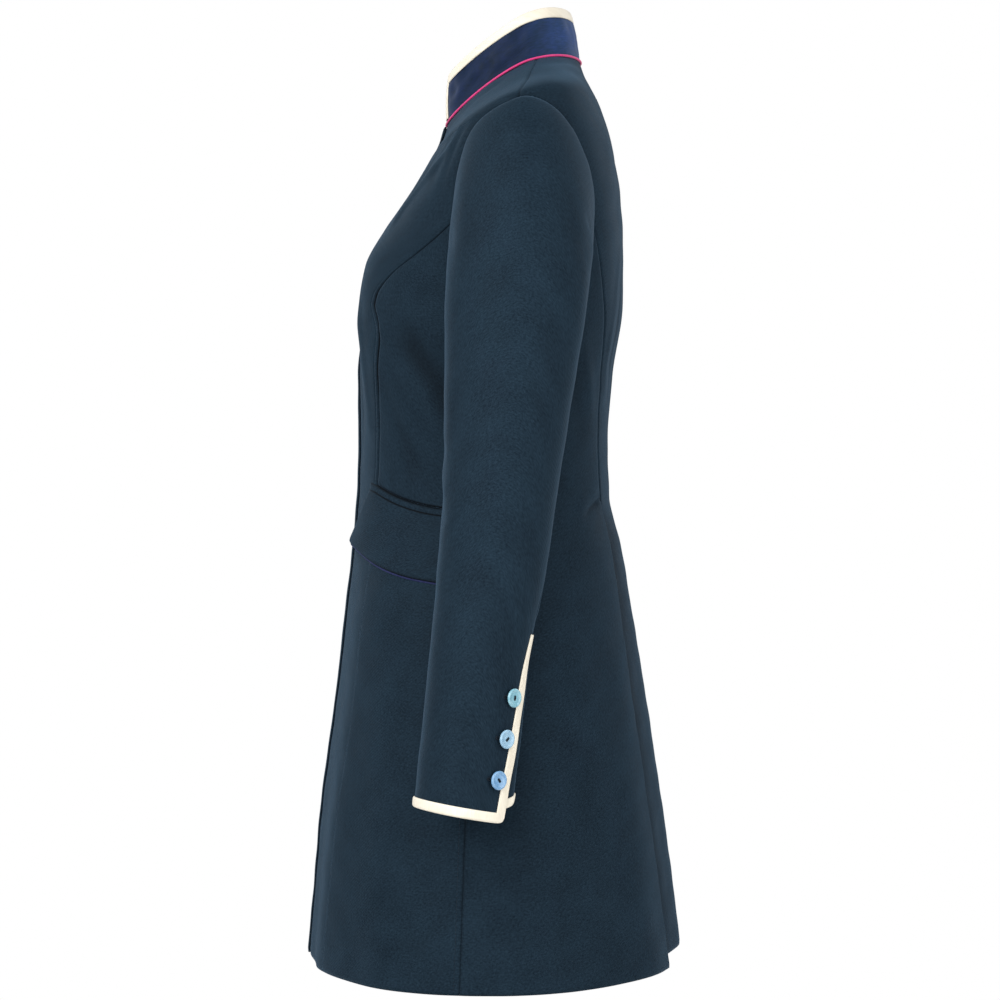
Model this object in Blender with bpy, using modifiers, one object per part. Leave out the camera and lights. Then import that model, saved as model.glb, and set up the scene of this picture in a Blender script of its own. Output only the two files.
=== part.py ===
"""A fitted, flared redingote: stand collar, set-in two-piece sleeves, slanted flap pockets and two back pleats.

Metres, +Z up. The origin is the middle of the neck, level with the neck seam at the centre back. The front faces -Y
and the wearer's left is +X. The coat keeps the hollow form it has when it is worn.
"""

import math
from collections import namedtuple

import bmesh
import bpy
import numpy as np
from mathutils import Quaternion, Vector

# Cloth and seams
CLOTH = 0.0016
SEAM_GAP = 0.0003
ARMHOLE_CLEARANCE = 0.0009
BINDING_CLOTH = 0.0009
BINDING_WIDTH = 0.0075
BINDING_EASE = 0.0005
NECK_PIPING_RADIUS = 0.0013
NECK_PIPING_POINTS = 23
NECK_PIPING_EASE = 1.18
NECK_PIPING_END = 0.0035
FLAP_PIPING_RADIUS = 0.0010

# Lengths, as levels down from the neck seam at the centre back
SHOULDER_END = -0.050
POCKET_FRONT = -0.400
POCKET_SEAM_GAP = 0.0007
POCKET_SLANT = 0.024
POCKET_BOW = -0.0065
PLEAT_TOP = -0.416
PLEAT_OPEN = -0.440
HEM = -0.835
BACK_HEM = -0.829

# Front closure: the right front laps over the left
UNDERLAP = 0.018
OVERLAP = 0.020
OVERLAP_TOP = -0.0060
OVERLAP_NECK = -0.0045
LAP_GAP = 0.0010
UNDERLAP_TOP = -0.026
LAP_RAMP = 0.014
LAP_CORNER_LIFT = 0.0025

# Stand collar
COLLAR_END = 0.0045
COLLAR_SEAM_RISE = 0.0026
COLLAR_HEIGHT = 0.042
COLLAR_BOW = 0.0012
COLLAR_COLUMNS = 20
CollarRing = namedtuple("CollarRing", "z_front z_side z_back y_front y_side y_back half_width")
COLLAR_TOP = CollarRing(-0.0170, 0.0290, 0.0405, -0.0575, 0.0080, 0.0530, 0.0590)

# Sleeves
CUFF = -0.676
CUFF_TILT_OUT = 0.05
CUFF_TILT_BACK = 0.18
VENT_TOP = -0.521
VENT_UNDERLAP = 16.0
VENT_STEP = 0.0052
VENT_FOLD_TURN = 9.0
VENT_FOLD_STEP = 0.85

# Buttons at the cuff vents
BUTTON_RADIUS = 0.0080
BUTTON_HEIGHT = 0.0026
BUTTON_HOLE_RADIUS = 0.0009
BUTTON_HOLE_SPACING = 0.0026
BUTTON_LEVELS = (-0.575, -0.609, -0.643)
BUTTON_INSET = 0.0135
BUTTON_SPINS = (80.0, 40.0, 125.0)

# Pockets
JET_HEIGHT = 0.0070
FLAP_CLOTH = 0.0020
FLAP_DROP_FRONT = 0.056
FLAP_DROP_BACK = 0.066
FLAP_LEAN = 0.036
FLAP_LEAN_BACK = 0.012
FLAP_CORNER = 0.0040
FLAP_EASE = 0.0012
FLAP_STAND = 0.0045
FLAP_PIPING_GAP = 0.0004
JET_EASE = 0.0012
POCKET_START = -0.11
POCKET_END = 0.93

# Level rings round the body: how far each reaches to the front, to the side and to the back, and where its widest
# point lies. The square columns round the ring: 2 is an ellipse, more is squarer.
BodyRing = namedtuple(
    "BodyRing", "level z_front z_side z_back y_front y_side y_back half_width square_front square_back"
)
BODY_RINGS = (
    BodyRing(0.000, -0.0620, -0.0132, -0.0040, -0.0590, 0.0150, 0.0620, 0.0635, 2.0, 2.0),
    BodyRing(-0.022, -0.0800, -0.0375, -0.0230, -0.0635, 0.0130, 0.0680, 0.1300, 2.2, 2.1),
    BodyRing(SHOULDER_END, -0.1050, -0.0645, -0.0500, -0.0765, 0.0050, 0.0790, 0.1950, 2.3, 2.3),
    BodyRing(-0.095, -0.1380, -0.1020, -0.0950, -0.0965, 0.0060, 0.0925, 0.1930, 2.4, 2.6),
    BodyRing(-0.135, -0.1680, -0.1380, -0.1350, -0.1165, 0.0060, 0.0985, 0.1870, 2.4, 2.8),
    BodyRing(-0.180, -0.2000, -0.1800, -0.1800, -0.1305, 0.0030, 0.1015, 0.1780, 2.4, 2.8),
    BodyRing(-0.235, -0.2350, -0.2350, -0.2350, -0.1325, 0.0000, 0.1005, 0.1670, 2.4, 2.6),
    BodyRing(-0.300, -0.3000, -0.3000, -0.3000, -0.1395, -0.0050, 0.0912, 0.1510, 2.4, 2.4),
    BodyRing(-0.360, -0.3600, -0.3600, -0.3600, -0.1400, -0.0120, 0.0880, 0.1405, 2.3, 2.3),
    BodyRing(-0.410, -0.4100, -0.4100, -0.4100, -0.1415, -0.0160, 0.0895, 0.1380, 2.3, 2.2),
    BodyRing(-0.455, -0.4550, -0.4550, -0.4550, -0.1450, -0.0190, 0.1000, 0.1520, 2.3, 2.2),
    BodyRing(-0.515, -0.5150, -0.5150, -0.5150, -0.1520, -0.0200, 0.1105, 0.1770, 2.3, 2.1),
    BodyRing(-0.605, -0.6050, -0.6050, -0.6050, -0.1620, -0.0200, 0.1250, 0.2000, 2.2, 2.0),
    BodyRing(-0.700, -0.7000, -0.7000, -0.7000, -0.1745, -0.0200, 0.1395, 0.2180, 2.2, 2.0),
    BodyRing(HEM, -0.8350, -0.8350, -0.8350, -0.1855, -0.0200, 0.1570, 0.2400, 2.2, 2.0),
)
# How the rings climb from the side to the front and back: the straight share, and the bend of the rest
Climb = namedtuple("Climb", "straight bend")
FRONT_CLIMB = Climb(0.5, 1.5)
BACK_CLIMB = Climb(1.6, 2.0)
COLLAR_FRONT_CLIMB = Climb(0.8, 1.5)
COLLAR_BACK_CLIMB = Climb(2.0, 2.0)

# The bust fills out each front from a soft point
Bust = namedtuple("Bust", "x z height spread_x spread_up spread_down")
BUST = Bust(0.086, -0.238, 0.0135, 0.048, 0.060, 0.062)

# Seams, as the angle round the body in degrees: 0 at the centre front, 90 at the side, 180 at the centre back
SeamPoint = namedtuple("SeamPoint", "level angle")
SHOULDER_SEAM = (SeamPoint(0.0, 99.0), SeamPoint(-0.022, 92.0), SeamPoint(SHOULDER_END, 90.0))
SIDE_SEAM = (
    SeamPoint(-0.200, 92.0),
    SeamPoint(-0.410, 86.0),
    SeamPoint(-0.600, 83.0),
    SeamPoint(HEM, 81.0),
)
FRONT_PRINCESS = (
    SeamPoint(-0.159, 65.4),
    SeamPoint(-0.1725, 59.4),
    SeamPoint(-0.189, 50.0),
    SeamPoint(-0.1995, 44.2),
    SeamPoint(-0.2115, 40.3),
    SeamPoint(-0.228, 37.2),
    SeamPoint(-0.236, 36.9),
    SeamPoint(-0.251, 39.0),
    SeamPoint(-0.265, 40.8),
    SeamPoint(-0.288, 39.4),
    SeamPoint(-0.3165, 37.6),
    SeamPoint(-0.350, 36.4),
    SeamPoint(POCKET_FRONT, 36.0),
)
BACK_PRINCESS = (
    SeamPoint(-0.170, 128.0),
    SeamPoint(-0.235, 138.0),
    SeamPoint(-0.300, 146.0),
    SeamPoint(-0.360, 149.0),
    SeamPoint(PLEAT_TOP, 152.0),
)
PLEAT_FOLD = (
    SeamPoint(PLEAT_TOP, 152.0),
    SeamPoint(-0.520, 151.5),
    SeamPoint(-0.650, 152.5),
    SeamPoint(HEM, 155.0),
)

# Knife pleats: how far the fold turns under and how deep the centre back lies below it
PLEAT_RETURN = 0.026
PLEAT_TOP_SHARE = 0.35
PLEAT_BACK_SHORT = 0.004
PLEAT_BEND = 0.0022
PLEAT_DEPTH_TOP = 0.0065
PLEAT_DEPTH_HEM = 0.0150

# Armhole, in angle and level: squarer at the front of the shoulder, where it also falls a little
Armhole = namedtuple("Armhole", "top widest bottom front side back square slope lean")
ARMHOLE = Armhole(SHOULDER_END, -0.150, -0.214, 65.2, 90.0, 127.0, 5.0, 0.005, 4.6)
FRONT_PRINCESS_TURN = -98.0
BACK_PRINCESS_TURN = 102.0

# Sleeve rings below the sleeve head
SleeveRing = namedtuple("SleeveRing", "level x y half_x half_y")
SLEEVE_RINGS = (
    SleeveRing(-0.250, 0.2220, 0.0020, 0.0470, 0.0590),
    SleeveRing(-0.328, 0.2290, -0.0045, 0.0460, 0.0530),
    SleeveRing(-0.403, 0.2370, -0.0110, 0.0450, 0.0475),
    SleeveRing(-0.475, 0.2445, -0.0185, 0.0440, 0.0440),
    SleeveRing(-0.540, 0.2515, -0.0280, 0.0420, 0.0405),
    SleeveRing(-0.600, 0.2580, -0.0343, 0.0410, 0.0401),
    SleeveRing(CUFF, 0.2660, -0.0431, 0.0400, 0.0386),
)
SLEEVE_HEAD_OUT = 0.034
SLEEVE_HEAD_LEAN = (6.0, 0.0, -1.1)
SLEEVE_UNDERARM_OUT = 0.010
SLEEVE_HEAD_DROP = 0.085
SLEEVE_UNDERARM_DROP = 0.012
FORE_SEAM_TURN = -128.0
HIND_SEAM = (
    SeamPoint(-0.250, 96.0),
    SeamPoint(-0.450, 90.0),
    SeamPoint(VENT_TOP, 76.0),
    SeamPoint(CUFF, 57.0),
)


# ----------------------------------------------------------------------------------------------------
# Tables and curves


def read_table(rows, column, level):
    """Smooth value of one table column at the given levels, with no overshoot between the rows."""
    level = np.asarray(level, dtype=float)
    heights = np.array([row.level for row in rows])
    values = np.array([getattr(row, column) for row in rows])
    steps = np.diff(heights)
    slopes = np.diff(values) / steps
    tangents = np.zeros(len(rows))
    tangents[0] = slopes[0]
    tangents[-1] = slopes[-1]
    for i in range(1, len(rows) - 1):
        if slopes[i - 1] * slopes[i] > 0:
            tangents[i] = 2 * slopes[i - 1] * slopes[i] / (slopes[i - 1] + slopes[i])
    cell = np.clip(np.searchsorted(-heights, -level, side="right") - 1, 0, len(rows) - 2)
    t = np.clip((level - heights[cell]) / steps[cell], 0.0, 1.0)
    return (
        values[cell] * (2 * t**3 - 3 * t**2 + 1)
        + tangents[cell] * steps[cell] * (t**3 - 2 * t**2 + t)
        + values[cell + 1] * (3 * t**2 - 2 * t**3)
        + tangents[cell + 1] * steps[cell] * (t**3 - t**2)
    )


def smooth_step(value, low, high):
    """0 below low, 1 above high, with a soft rise between them."""
    t = np.clip((np.asarray(value, dtype=float) - low) / (high - low), 0.0, 1.0)
    return t * t * (3 - 2 * t)


def climb(share, in_front, front, back):
    """Rise from 0 at the side to 1 at the front or back end of a ring."""
    straight = np.where(in_front, front.straight, back.straight)
    bend = np.where(in_front, front.bend, back.bend)
    return straight * share + (1 - straight) * share**bend


def unit(vectors):
    """The vectors at length 1."""
    return vectors / np.linalg.norm(vectors, axis=-1, keepdims=True)


# ----------------------------------------------------------------------------------------------------
# The form of the body and of the sleeve


def body(angle, level):
    """Point on the inside of the coat's body."""
    angle, level = np.broadcast_arrays(np.asarray(angle, dtype=float), np.asarray(level, dtype=float))
    across = np.sin(np.radians(angle))
    along = np.cos(np.radians(angle))
    in_front = along > 0
    square_front = read_table(BODY_RINGS, "square_front", level)
    square_back = read_table(BODY_RINGS, "square_back", level)
    square = np.where(in_front, square_front, square_back)
    reach = (np.abs(across) ** square + np.abs(along) ** square) ** (-1 / square)
    share = reach * np.abs(along)
    y_side = read_table(BODY_RINGS, "y_side", level)
    z_side = read_table(BODY_RINGS, "z_side", level)
    y_front = read_table(BODY_RINGS, "y_front", level)
    y_back = read_table(BODY_RINGS, "y_back", level)
    z_front = read_table(BODY_RINGS, "z_front", level)
    z_back = read_table(BODY_RINGS, "z_back", level)
    y_end = np.where(in_front, y_front, y_back)
    z_end = np.where(in_front, z_front, z_back)
    x = read_table(BODY_RINGS, "half_width", level) * reach * across
    y = y_side + (y_end - y_side) * share
    z = z_side + (z_end - z_side) * climb(share, in_front, FRONT_CLIMB, BACK_CLIMB)
    spread_z = np.where(z > BUST.z, BUST.spread_up, BUST.spread_down)
    bust = np.exp(-(((np.abs(x) - BUST.x) / BUST.spread_x) ** 2) - ((z - BUST.z) / spread_z) ** 2)
    y = y - BUST.height * bust * smooth_step(along, 0.0, 0.35)
    return np.stack([x, y, z], axis=-1)


def body_normal(angle, level):
    """Outward direction of the body's cloth."""
    turn, drop = 0.05, 0.0002
    round_body = body(angle + turn, level) - body(np.asarray(angle) - turn, level)
    down_body = body(angle, np.asarray(level) - drop) - body(angle, np.asarray(level) + drop)
    return unit(np.cross(down_body, round_body))


def angle_at(x, level):
    """Angle at which the body lies at the given distance from the centre front."""
    half_width = read_table(BODY_RINGS, "half_width", level)
    return np.degrees(np.arcsin(x / half_width))


def armhole(turn):
    """Angle and level on the armhole seam: turn 0 at the shoulder, 90 at the back, 180 under the arm."""
    turn = np.radians(np.asarray(turn, dtype=float))
    up = np.cos(turn)
    back = np.sin(turn)
    front_top = (up > 0) & (back < 0)
    square = np.where(front_top, ARMHOLE.square, 2.0)
    reach = (np.abs(up) ** square + np.abs(back) ** square) ** (-1 / square)
    up = up * reach
    back = back * reach
    height = np.where(up > 0, ARMHOLE.top - ARMHOLE.widest, ARMHOLE.widest - ARMHOLE.bottom)
    height = height + np.where(front_top, ARMHOLE.slope * back, 0.0)
    width = np.where(back > 0, ARMHOLE.back - ARMHOLE.side, ARMHOLE.side - ARMHOLE.front)
    width = width + np.where(front_top, ARMHOLE.lean * up, 0.0)
    return ARMHOLE.side + width * back, ARMHOLE.widest + height * up


def sleeve_ring(turn, level):
    """Point on the inside of the left sleeve below its head: turn 0 outside, 90 at the back."""
    out = np.cos(np.radians(turn))
    back = np.sin(np.radians(turn))
    x_off = read_table(SLEEVE_RINGS, "half_x", level) * out
    y_off = read_table(SLEEVE_RINGS, "half_y", level) * back
    tilt = smooth_step(-np.asarray(level, dtype=float), 0.25, -CUFF)
    z = level + tilt * (CUFF_TILT_OUT * x_off - CUFF_TILT_BACK * y_off)
    x = read_table(SLEEVE_RINGS, "x", level) + x_off
    y = read_table(SLEEVE_RINGS, "y", level) + y_off
    return np.stack(np.broadcast_arrays(x, y, z), axis=-1)


def sleeve(turn, down):
    """Point on the inside of the left sleeve: down 0 at the armhole, 1 below the head, 2 at the cuff."""
    turn, down = np.broadcast_arrays(np.asarray(turn, dtype=float), np.asarray(down, dtype=float))
    seam_angle, seam_level = armhole(turn)
    out = body_normal(seam_angle, seam_level)
    start = body(seam_angle, seam_level) + out * (CLOTH + ARMHOLE_CLEARANCE)
    lean = unit(out + np.array(SLEEVE_HEAD_LEAN))
    head_foot = SLEEVE_RINGS[0].level
    end = sleeve_ring(turn, np.full(turn.shape, head_foot))
    step = 0.002
    slope = (end - sleeve_ring(turn, np.full(turn.shape, head_foot - step))) / step
    top = (0.5 + 0.5 * np.cos(np.radians(turn)))[..., None] ** 2
    out_length = SLEEVE_UNDERARM_OUT + (SLEEVE_HEAD_OUT - SLEEVE_UNDERARM_OUT) * top
    drop_length = SLEEVE_UNDERARM_DROP + (SLEEVE_HEAD_DROP - SLEEVE_UNDERARM_DROP) * top
    t = np.clip(down, 0.0, 1.0)[..., None]
    head = (
        start * (1 - t) ** 3
        + 3 * (start + lean * out_length) * t * (1 - t) ** 2
        + 3 * (end + slope * drop_length) * t**2 * (1 - t)
        + end * t**3
    )
    level = head_foot + (CUFF - head_foot) * np.clip(down - 1.0, 0.0, 1.0)
    return np.where(down[..., None] < 1.0, head, sleeve_ring(turn, level))


def sleeve_down(level):
    """The sleeve's down value at a level below its head."""
    head_foot = SLEEVE_RINGS[0].level
    return 1.0 + (head_foot - level) / (head_foot - CUFF)


def sleeve_normal(turn, down):
    """Outward direction of the sleeve's cloth."""
    step = 0.004
    up = np.clip(down - step, 0.0, 2.0)
    low = np.clip(down + step, 0.0, 2.0)
    round_sleeve = sleeve(turn + 0.5, down) - sleeve(np.asarray(turn) - 0.5, down)
    down_sleeve = sleeve(turn, low) - sleeve(turn, up)
    return unit(np.cross(down_sleeve, round_sleeve))


def hind_seam(down):
    """Turn of the seam at the back of the sleeve."""
    head_foot = SLEEVE_RINGS[0].level
    level = head_foot + (CUFF - head_foot) * np.clip(np.asarray(down, dtype=float) - 1.0, 0.0, 1.0)
    return read_table(HIND_SEAM, "angle", level)


# ----------------------------------------------------------------------------------------------------
# Materials and collections


def make_material(name, colour, roughness, sheen=0.0, coat=0.0):
    material = bpy.data.materials.new(name)
    material.use_nodes = True
    shader = material.node_tree.nodes["Principled BSDF"]
    shader.inputs["Base Color"].default_value = (*colour, 1.0)
    shader.inputs["Roughness"].default_value = roughness
    shader.inputs["Metallic"].default_value = 0.0
    shader.inputs["Sheen Weight"].default_value = sheen
    shader.inputs["Coat Weight"].default_value = coat
    return material


for old_object in list(bpy.data.objects):
    bpy.data.objects.remove(old_object)

coat_collection = bpy.data.collections.new("redingote")
bpy.context.scene.collection.children.link(coat_collection)
cutter_collection = bpy.data.collections.new("cutters")
bpy.context.scene.collection.children.link(cutter_collection)

COAT_CLOTH = make_material("coat_cloth", (0.026, 0.043, 0.066), 0.72, sheen=0.2)
COLLAR_SATIN = make_material("collar_satin", (0.030, 0.042, 0.125), 0.34)
CREAM_BINDING = make_material("cream_binding", (0.78, 0.70, 0.58), 0.45)
MAGENTA_PIPING = make_material("magenta_piping", (0.72, 0.045, 0.24), 0.45)
NAVY_PIPING = make_material("navy_piping", (0.030, 0.035, 0.120), 0.40)
BUTTON_PEARL = make_material("button_pearl", (0.28, 0.46, 0.62), 0.20, coat=0.5)


# ----------------------------------------------------------------------------------------------------
# Making the pieces


def inset_edges(points, gap):
    """The sheet's points with its edges drawn in by half the seam gap. Missing points are NaN."""
    rows, cols = points.shape[:2]
    there = ~np.isnan(points[..., 0])
    moved = points.copy()
    for i in range(rows):
        for j in range(cols):
            if not there[i, j]:
                continue
            for di, dj in ((0, 1), (1, 0)):
                ahead = i + di < rows and j + dj < cols and there[i + di, j + dj]
                behind = i - di >= 0 and j - dj >= 0 and there[i - di, j - dj]
                if ahead == behind:
                    continue
                sign = 1 if ahead else -1
                inward = points[i + sign * di, j + sign * dj] - points[i, j]
                moved[i, j] += unit(inward) * gap / 2
    return moved


def add_sheet(name, points, thickness, material, faces_out=True):
    """A piece of cloth: a grid laid through the points and thickened to one side."""
    rows, cols = points.shape[:2]
    bm = bmesh.new()
    bmesh.ops.create_grid(bm, x_segments=cols - 1, y_segments=rows - 1, size=1.0)
    missing = []
    for vert, point in zip(list(bm.verts), points.reshape(-1, 3)):
        if np.isnan(point[0]):
            missing.append(vert)
        else:
            vert.co = point
    bmesh.ops.delete(bm, geom=missing, context="VERTS")
    if faces_out:
        bmesh.ops.reverse_faces(bm, faces=bm.faces[:])
    mesh = bpy.data.meshes.new(name)
    bm.to_mesh(mesh)
    bm.free()
    mesh.materials.append(material)
    mesh.shade_smooth()
    mesh.set_sharp_from_angle(angle=math.radians(40))
    piece = bpy.data.objects.new(name, mesh)
    coat_collection.objects.link(piece)
    shell = piece.modifiers.new("cloth thickness", "SOLIDIFY")
    shell.thickness = thickness
    shell.offset = 1.0
    return piece


def add_tube(name, points, radius, material):
    """Piping: a round cord through the points."""
    curve = bpy.data.curves.new(name, "CURVE")
    curve.dimensions = "3D"
    curve.bevel_depth = radius
    curve.bevel_resolution = 2
    curve.use_fill_caps = True
    line = curve.splines.new("POLY")
    line.points.add(len(points) - 1)
    for spline_point, point in zip(line.points, points):
        spline_point.co = (*point, 1.0)
    curve.materials.append(material)
    piece = bpy.data.objects.new(name, curve)
    coat_collection.objects.link(piece)
    return piece


def add_binding(name, edge, inside, material, faces_out):
    """A bias binding folded round an edge, given as (points, normals) at the edge and one width in."""
    half = CLOTH / 2 + BINDING_EASE
    edge_middle = edge[0] + edge[1] * (CLOTH / 2)
    inside_middle = inside[0] + inside[1] * (CLOTH / 2)
    inward = unit(inside_middle - edge_middle)
    fold = (
        inside_middle + inside[1] * half,
        edge_middle + edge[1] * half,
        edge_middle - inward * (half + CLOTH / 4),
        edge_middle - edge[1] * half,
        inside_middle - inside[1] * half,
    )
    return add_sheet(name, inset_edges(np.stack(fold), 2 * SEAM_GAP), BINDING_CLOTH, material, faces_out)


def mirrored(points, side):
    """The points on the left side, or their mirror on the right."""
    return points * np.array([side, 1.0, 1.0])


SIDES = (("left", 1), ("right", -1))


# ----------------------------------------------------------------------------------------------------
# Body panels

SHOULDER_ROWS = (0.0, -0.012, -0.026, -0.040, SHOULDER_END)
ARMHOLE_STEPS = 6
FRONT_ARMHOLE_TURNS = (-30.0, -41.0, -50.0, -62.0, -78.0, FRONT_PRINCESS_TURN)
BODICE_STEPS = 6
SKIRT_STEPS = 7
SKIRT_SPACING = 1.3
FRONT_COLUMNS = 6
POCKET_COLUMNS = 5
SIDE_COLUMNS = 5


def pocket_line(share):
    """Angle and level along the pocket seam, from its front end at 0 to the side seam at 1."""
    front_angle = FRONT_PRINCESS[-1].angle
    side_angle = read_table(SIDE_SEAM, "angle", POCKET_FRONT - POCKET_SLANT)
    angle = front_angle + (side_angle - front_angle) * share
    level = POCKET_FRONT - POCKET_SLANT * share + POCKET_BOW * np.sin(np.pi * np.maximum(share, 0.0))
    return angle, level


def front_lift(x, level):
    """How far the right front stands out where it laps over the left one."""
    over = smooth_step(x, -UNDERLAP - LAP_RAMP, -UNDERLAP)
    below_neck = np.maximum(smooth_step(-level, 0.0, 0.010), smooth_step(x, -0.012, -0.002))
    corner = smooth_step(x, 0.0, OVERLAP) * np.exp(-(((level + 0.012) / 0.022) ** 2))
    return (CLOTH + LAP_GAP) * over * below_neck + LAP_CORNER_LIFT * corner


def front_columns(side, level, outer_angle):
    """Angles of a front's columns: at fixed distances from the centre where the fronts lap, then even."""
    if side > 0:
        lap = (-UNDERLAP, 0.0, OVERLAP)
    else:
        lap = (-OVERLAP, 0.0, UNDERLAP, UNDERLAP + LAP_RAMP)
    lap_angles = angle_at(np.array(lap), level)
    rest = np.linspace(lap_angles[-1], outer_angle, FRONT_COLUMNS - len(lap) + 2)[1:]
    return np.concatenate([lap_angles, rest])


def make_front(side_name, side):
    """A front with its part of the skirt, which runs below the pocket to the side seam."""
    hole_angles, hole_levels = armhole(np.array(FRONT_ARMHOLE_TURNS))
    bodice_levels = np.linspace(hole_levels[-1], POCKET_FRONT, BODICE_STEPS + 1)[1:]
    levels = np.concatenate([SHOULDER_ROWS, hole_levels, bodice_levels])
    outer = np.concatenate(
        [
            read_table(SHOULDER_SEAM, "angle", SHOULDER_ROWS),
            hole_angles,
            read_table(FRONT_PRINCESS, "angle", bodice_levels),
        ]
    )
    edge_x = -UNDERLAP if side > 0 else -OVERLAP
    edge_top = UNDERLAP_TOP if side > 0 else OVERLAP_TOP
    angles = np.full((len(levels) + SKIRT_STEPS, FRONT_COLUMNS + POCKET_COLUMNS + 1), np.nan)
    heights = np.full_like(angles, np.nan)
    for row, level in enumerate(levels):
        angles[row, : FRONT_COLUMNS + 1] = front_columns(side, level, outer[row])
        heights[row, : FRONT_COLUMNS + 1] = level
    for row in range(len(SHOULDER_ROWS) - 1):
        squeeze = 1 - levels[row] / SHOULDER_END
        heights[row, 0] += edge_top * squeeze
        if side < 0:
            heights[row, 1] += OVERLAP_NECK * squeeze
        angles[row, 0] = angle_at(edge_x, heights[row, 0])
    last = len(levels) - 1
    pocket_angle, pocket_level = pocket_line(np.linspace(0.0, 1.0, POCKET_COLUMNS + 1)[1:])
    top_angle = np.concatenate([angles[last, : FRONT_COLUMNS + 1], pocket_angle])
    top_level = np.concatenate([heights[last, : FRONT_COLUMNS + 1], pocket_level])
    angles[last] = top_angle
    heights[last] = top_level
    hem_edge = angle_at(edge_x, HEM)
    hem_angle = hem_edge + (read_table(SIDE_SEAM, "angle", HEM) - hem_edge) * (top_angle - top_angle[0]) / (
        top_angle[-1] - top_angle[0]
    )
    for step in range(1, SKIRT_STEPS + 1):
        share = (step / SKIRT_STEPS) ** SKIRT_SPACING
        row_levels = top_level + (HEM - top_level) * share
        row_angles = top_angle + (hem_angle - top_angle) * share
        lap = 3 if side > 0 else 4
        row_angles[:lap] = front_columns(side, row_levels[0], 90.0)[:lap]
        row_angles[-1] = read_table(SIDE_SEAM, "angle", row_levels[-1])
        angles[last + step] = row_angles
        heights[last + step] = row_levels
    points = body(angles, heights)
    if side < 0:
        normals = body_normal(angles, heights)
        points = points + normals * front_lift(-points[..., 0], heights)[..., None]
    points = inset_edges(points, SEAM_GAP)
    add_sheet("front_" + side_name, mirrored(points, side), CLOTH, COAT_CLOTH, side > 0)


def inside_edges(left, right, top, bottom, down):
    """Angles and levels inside four edges, each of (angle, level). Down is each row's share of the height."""
    w = down[:, None, None]
    u = np.linspace(0.0, 1.0, len(top))[None, :, None]
    corners = (
        (1 - u) * (1 - w) * top[0] + u * (1 - w) * top[-1] + (1 - u) * w * bottom[0] + u * w * bottom[-1]
    )
    between_rows = (1 - w) * top[None, :, :] + w * bottom[None, :, :]
    between_cols = (1 - u) * left[:, None, :] + u * right[:, None, :]
    return between_rows + between_cols - corners


def make_side_front(side_name, side):
    """The panel from the front princess seam to the side seam, above the pocket."""
    turns = np.linspace(FRONT_PRINCESS_TURN, -180.0, SIDE_COLUMNS + 1)
    top = np.stack(armhole(turns), axis=-1)
    bottom = np.stack(pocket_line(np.linspace(0.0, 1.0, SIDE_COLUMNS + 1)), axis=-1)
    bottom[:, 1] += POCKET_SEAM_GAP
    left_levels = np.linspace(top[0, 1], bottom[0, 1], BODICE_STEPS + 1)
    right_levels = np.linspace(top[-1, 1], bottom[-1, 1], BODICE_STEPS + 1)
    left = np.stack([read_table(FRONT_PRINCESS, "angle", left_levels), left_levels], axis=-1)
    right = np.stack([read_table(SIDE_SEAM, "angle", right_levels), right_levels], axis=-1)
    left[0] = top[0]
    top[-1, 0] = right[0, 0]
    grid = inside_edges(left, right, top, bottom, np.linspace(0.0, 1.0, BODICE_STEPS + 1))
    points = inset_edges(body(grid[..., 0], grid[..., 1]), SEAM_GAP)
    add_sheet("side_front_" + side_name, mirrored(points, side), CLOTH, COAT_CLOTH, side > 0)


def pleat_opening(level):
    """0 above the pleats, rising to 1 at the hem."""
    return np.clip((PLEAT_TOP - np.asarray(level, dtype=float)) / (PLEAT_TOP - HEM), 0.0, 1.0)


def pleat_width(full_width, level):
    """How far a pleat's fold turns under at a level: least at its top and the full width at the hem."""
    return full_width * (PLEAT_TOP_SHARE + (1 - PLEAT_TOP_SHARE) * pleat_opening(level))


def pleat_depth(level):
    """How far the centre back lies under the fold of a pleat."""
    opening = pleat_opening(level)
    start = smooth_step(-np.asarray(level, dtype=float), -PLEAT_TOP, -PLEAT_OPEN)
    return start * (PLEAT_DEPTH_TOP + (PLEAT_DEPTH_HEM - PLEAT_DEPTH_TOP) * opening)


def around(distance, angle, level):
    """Change of angle that moves a point by the given distance round the body."""
    span = np.linalg.norm(body(angle + 0.5, level) - body(angle - 0.5, level), axis=-1)
    return distance / span


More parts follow.
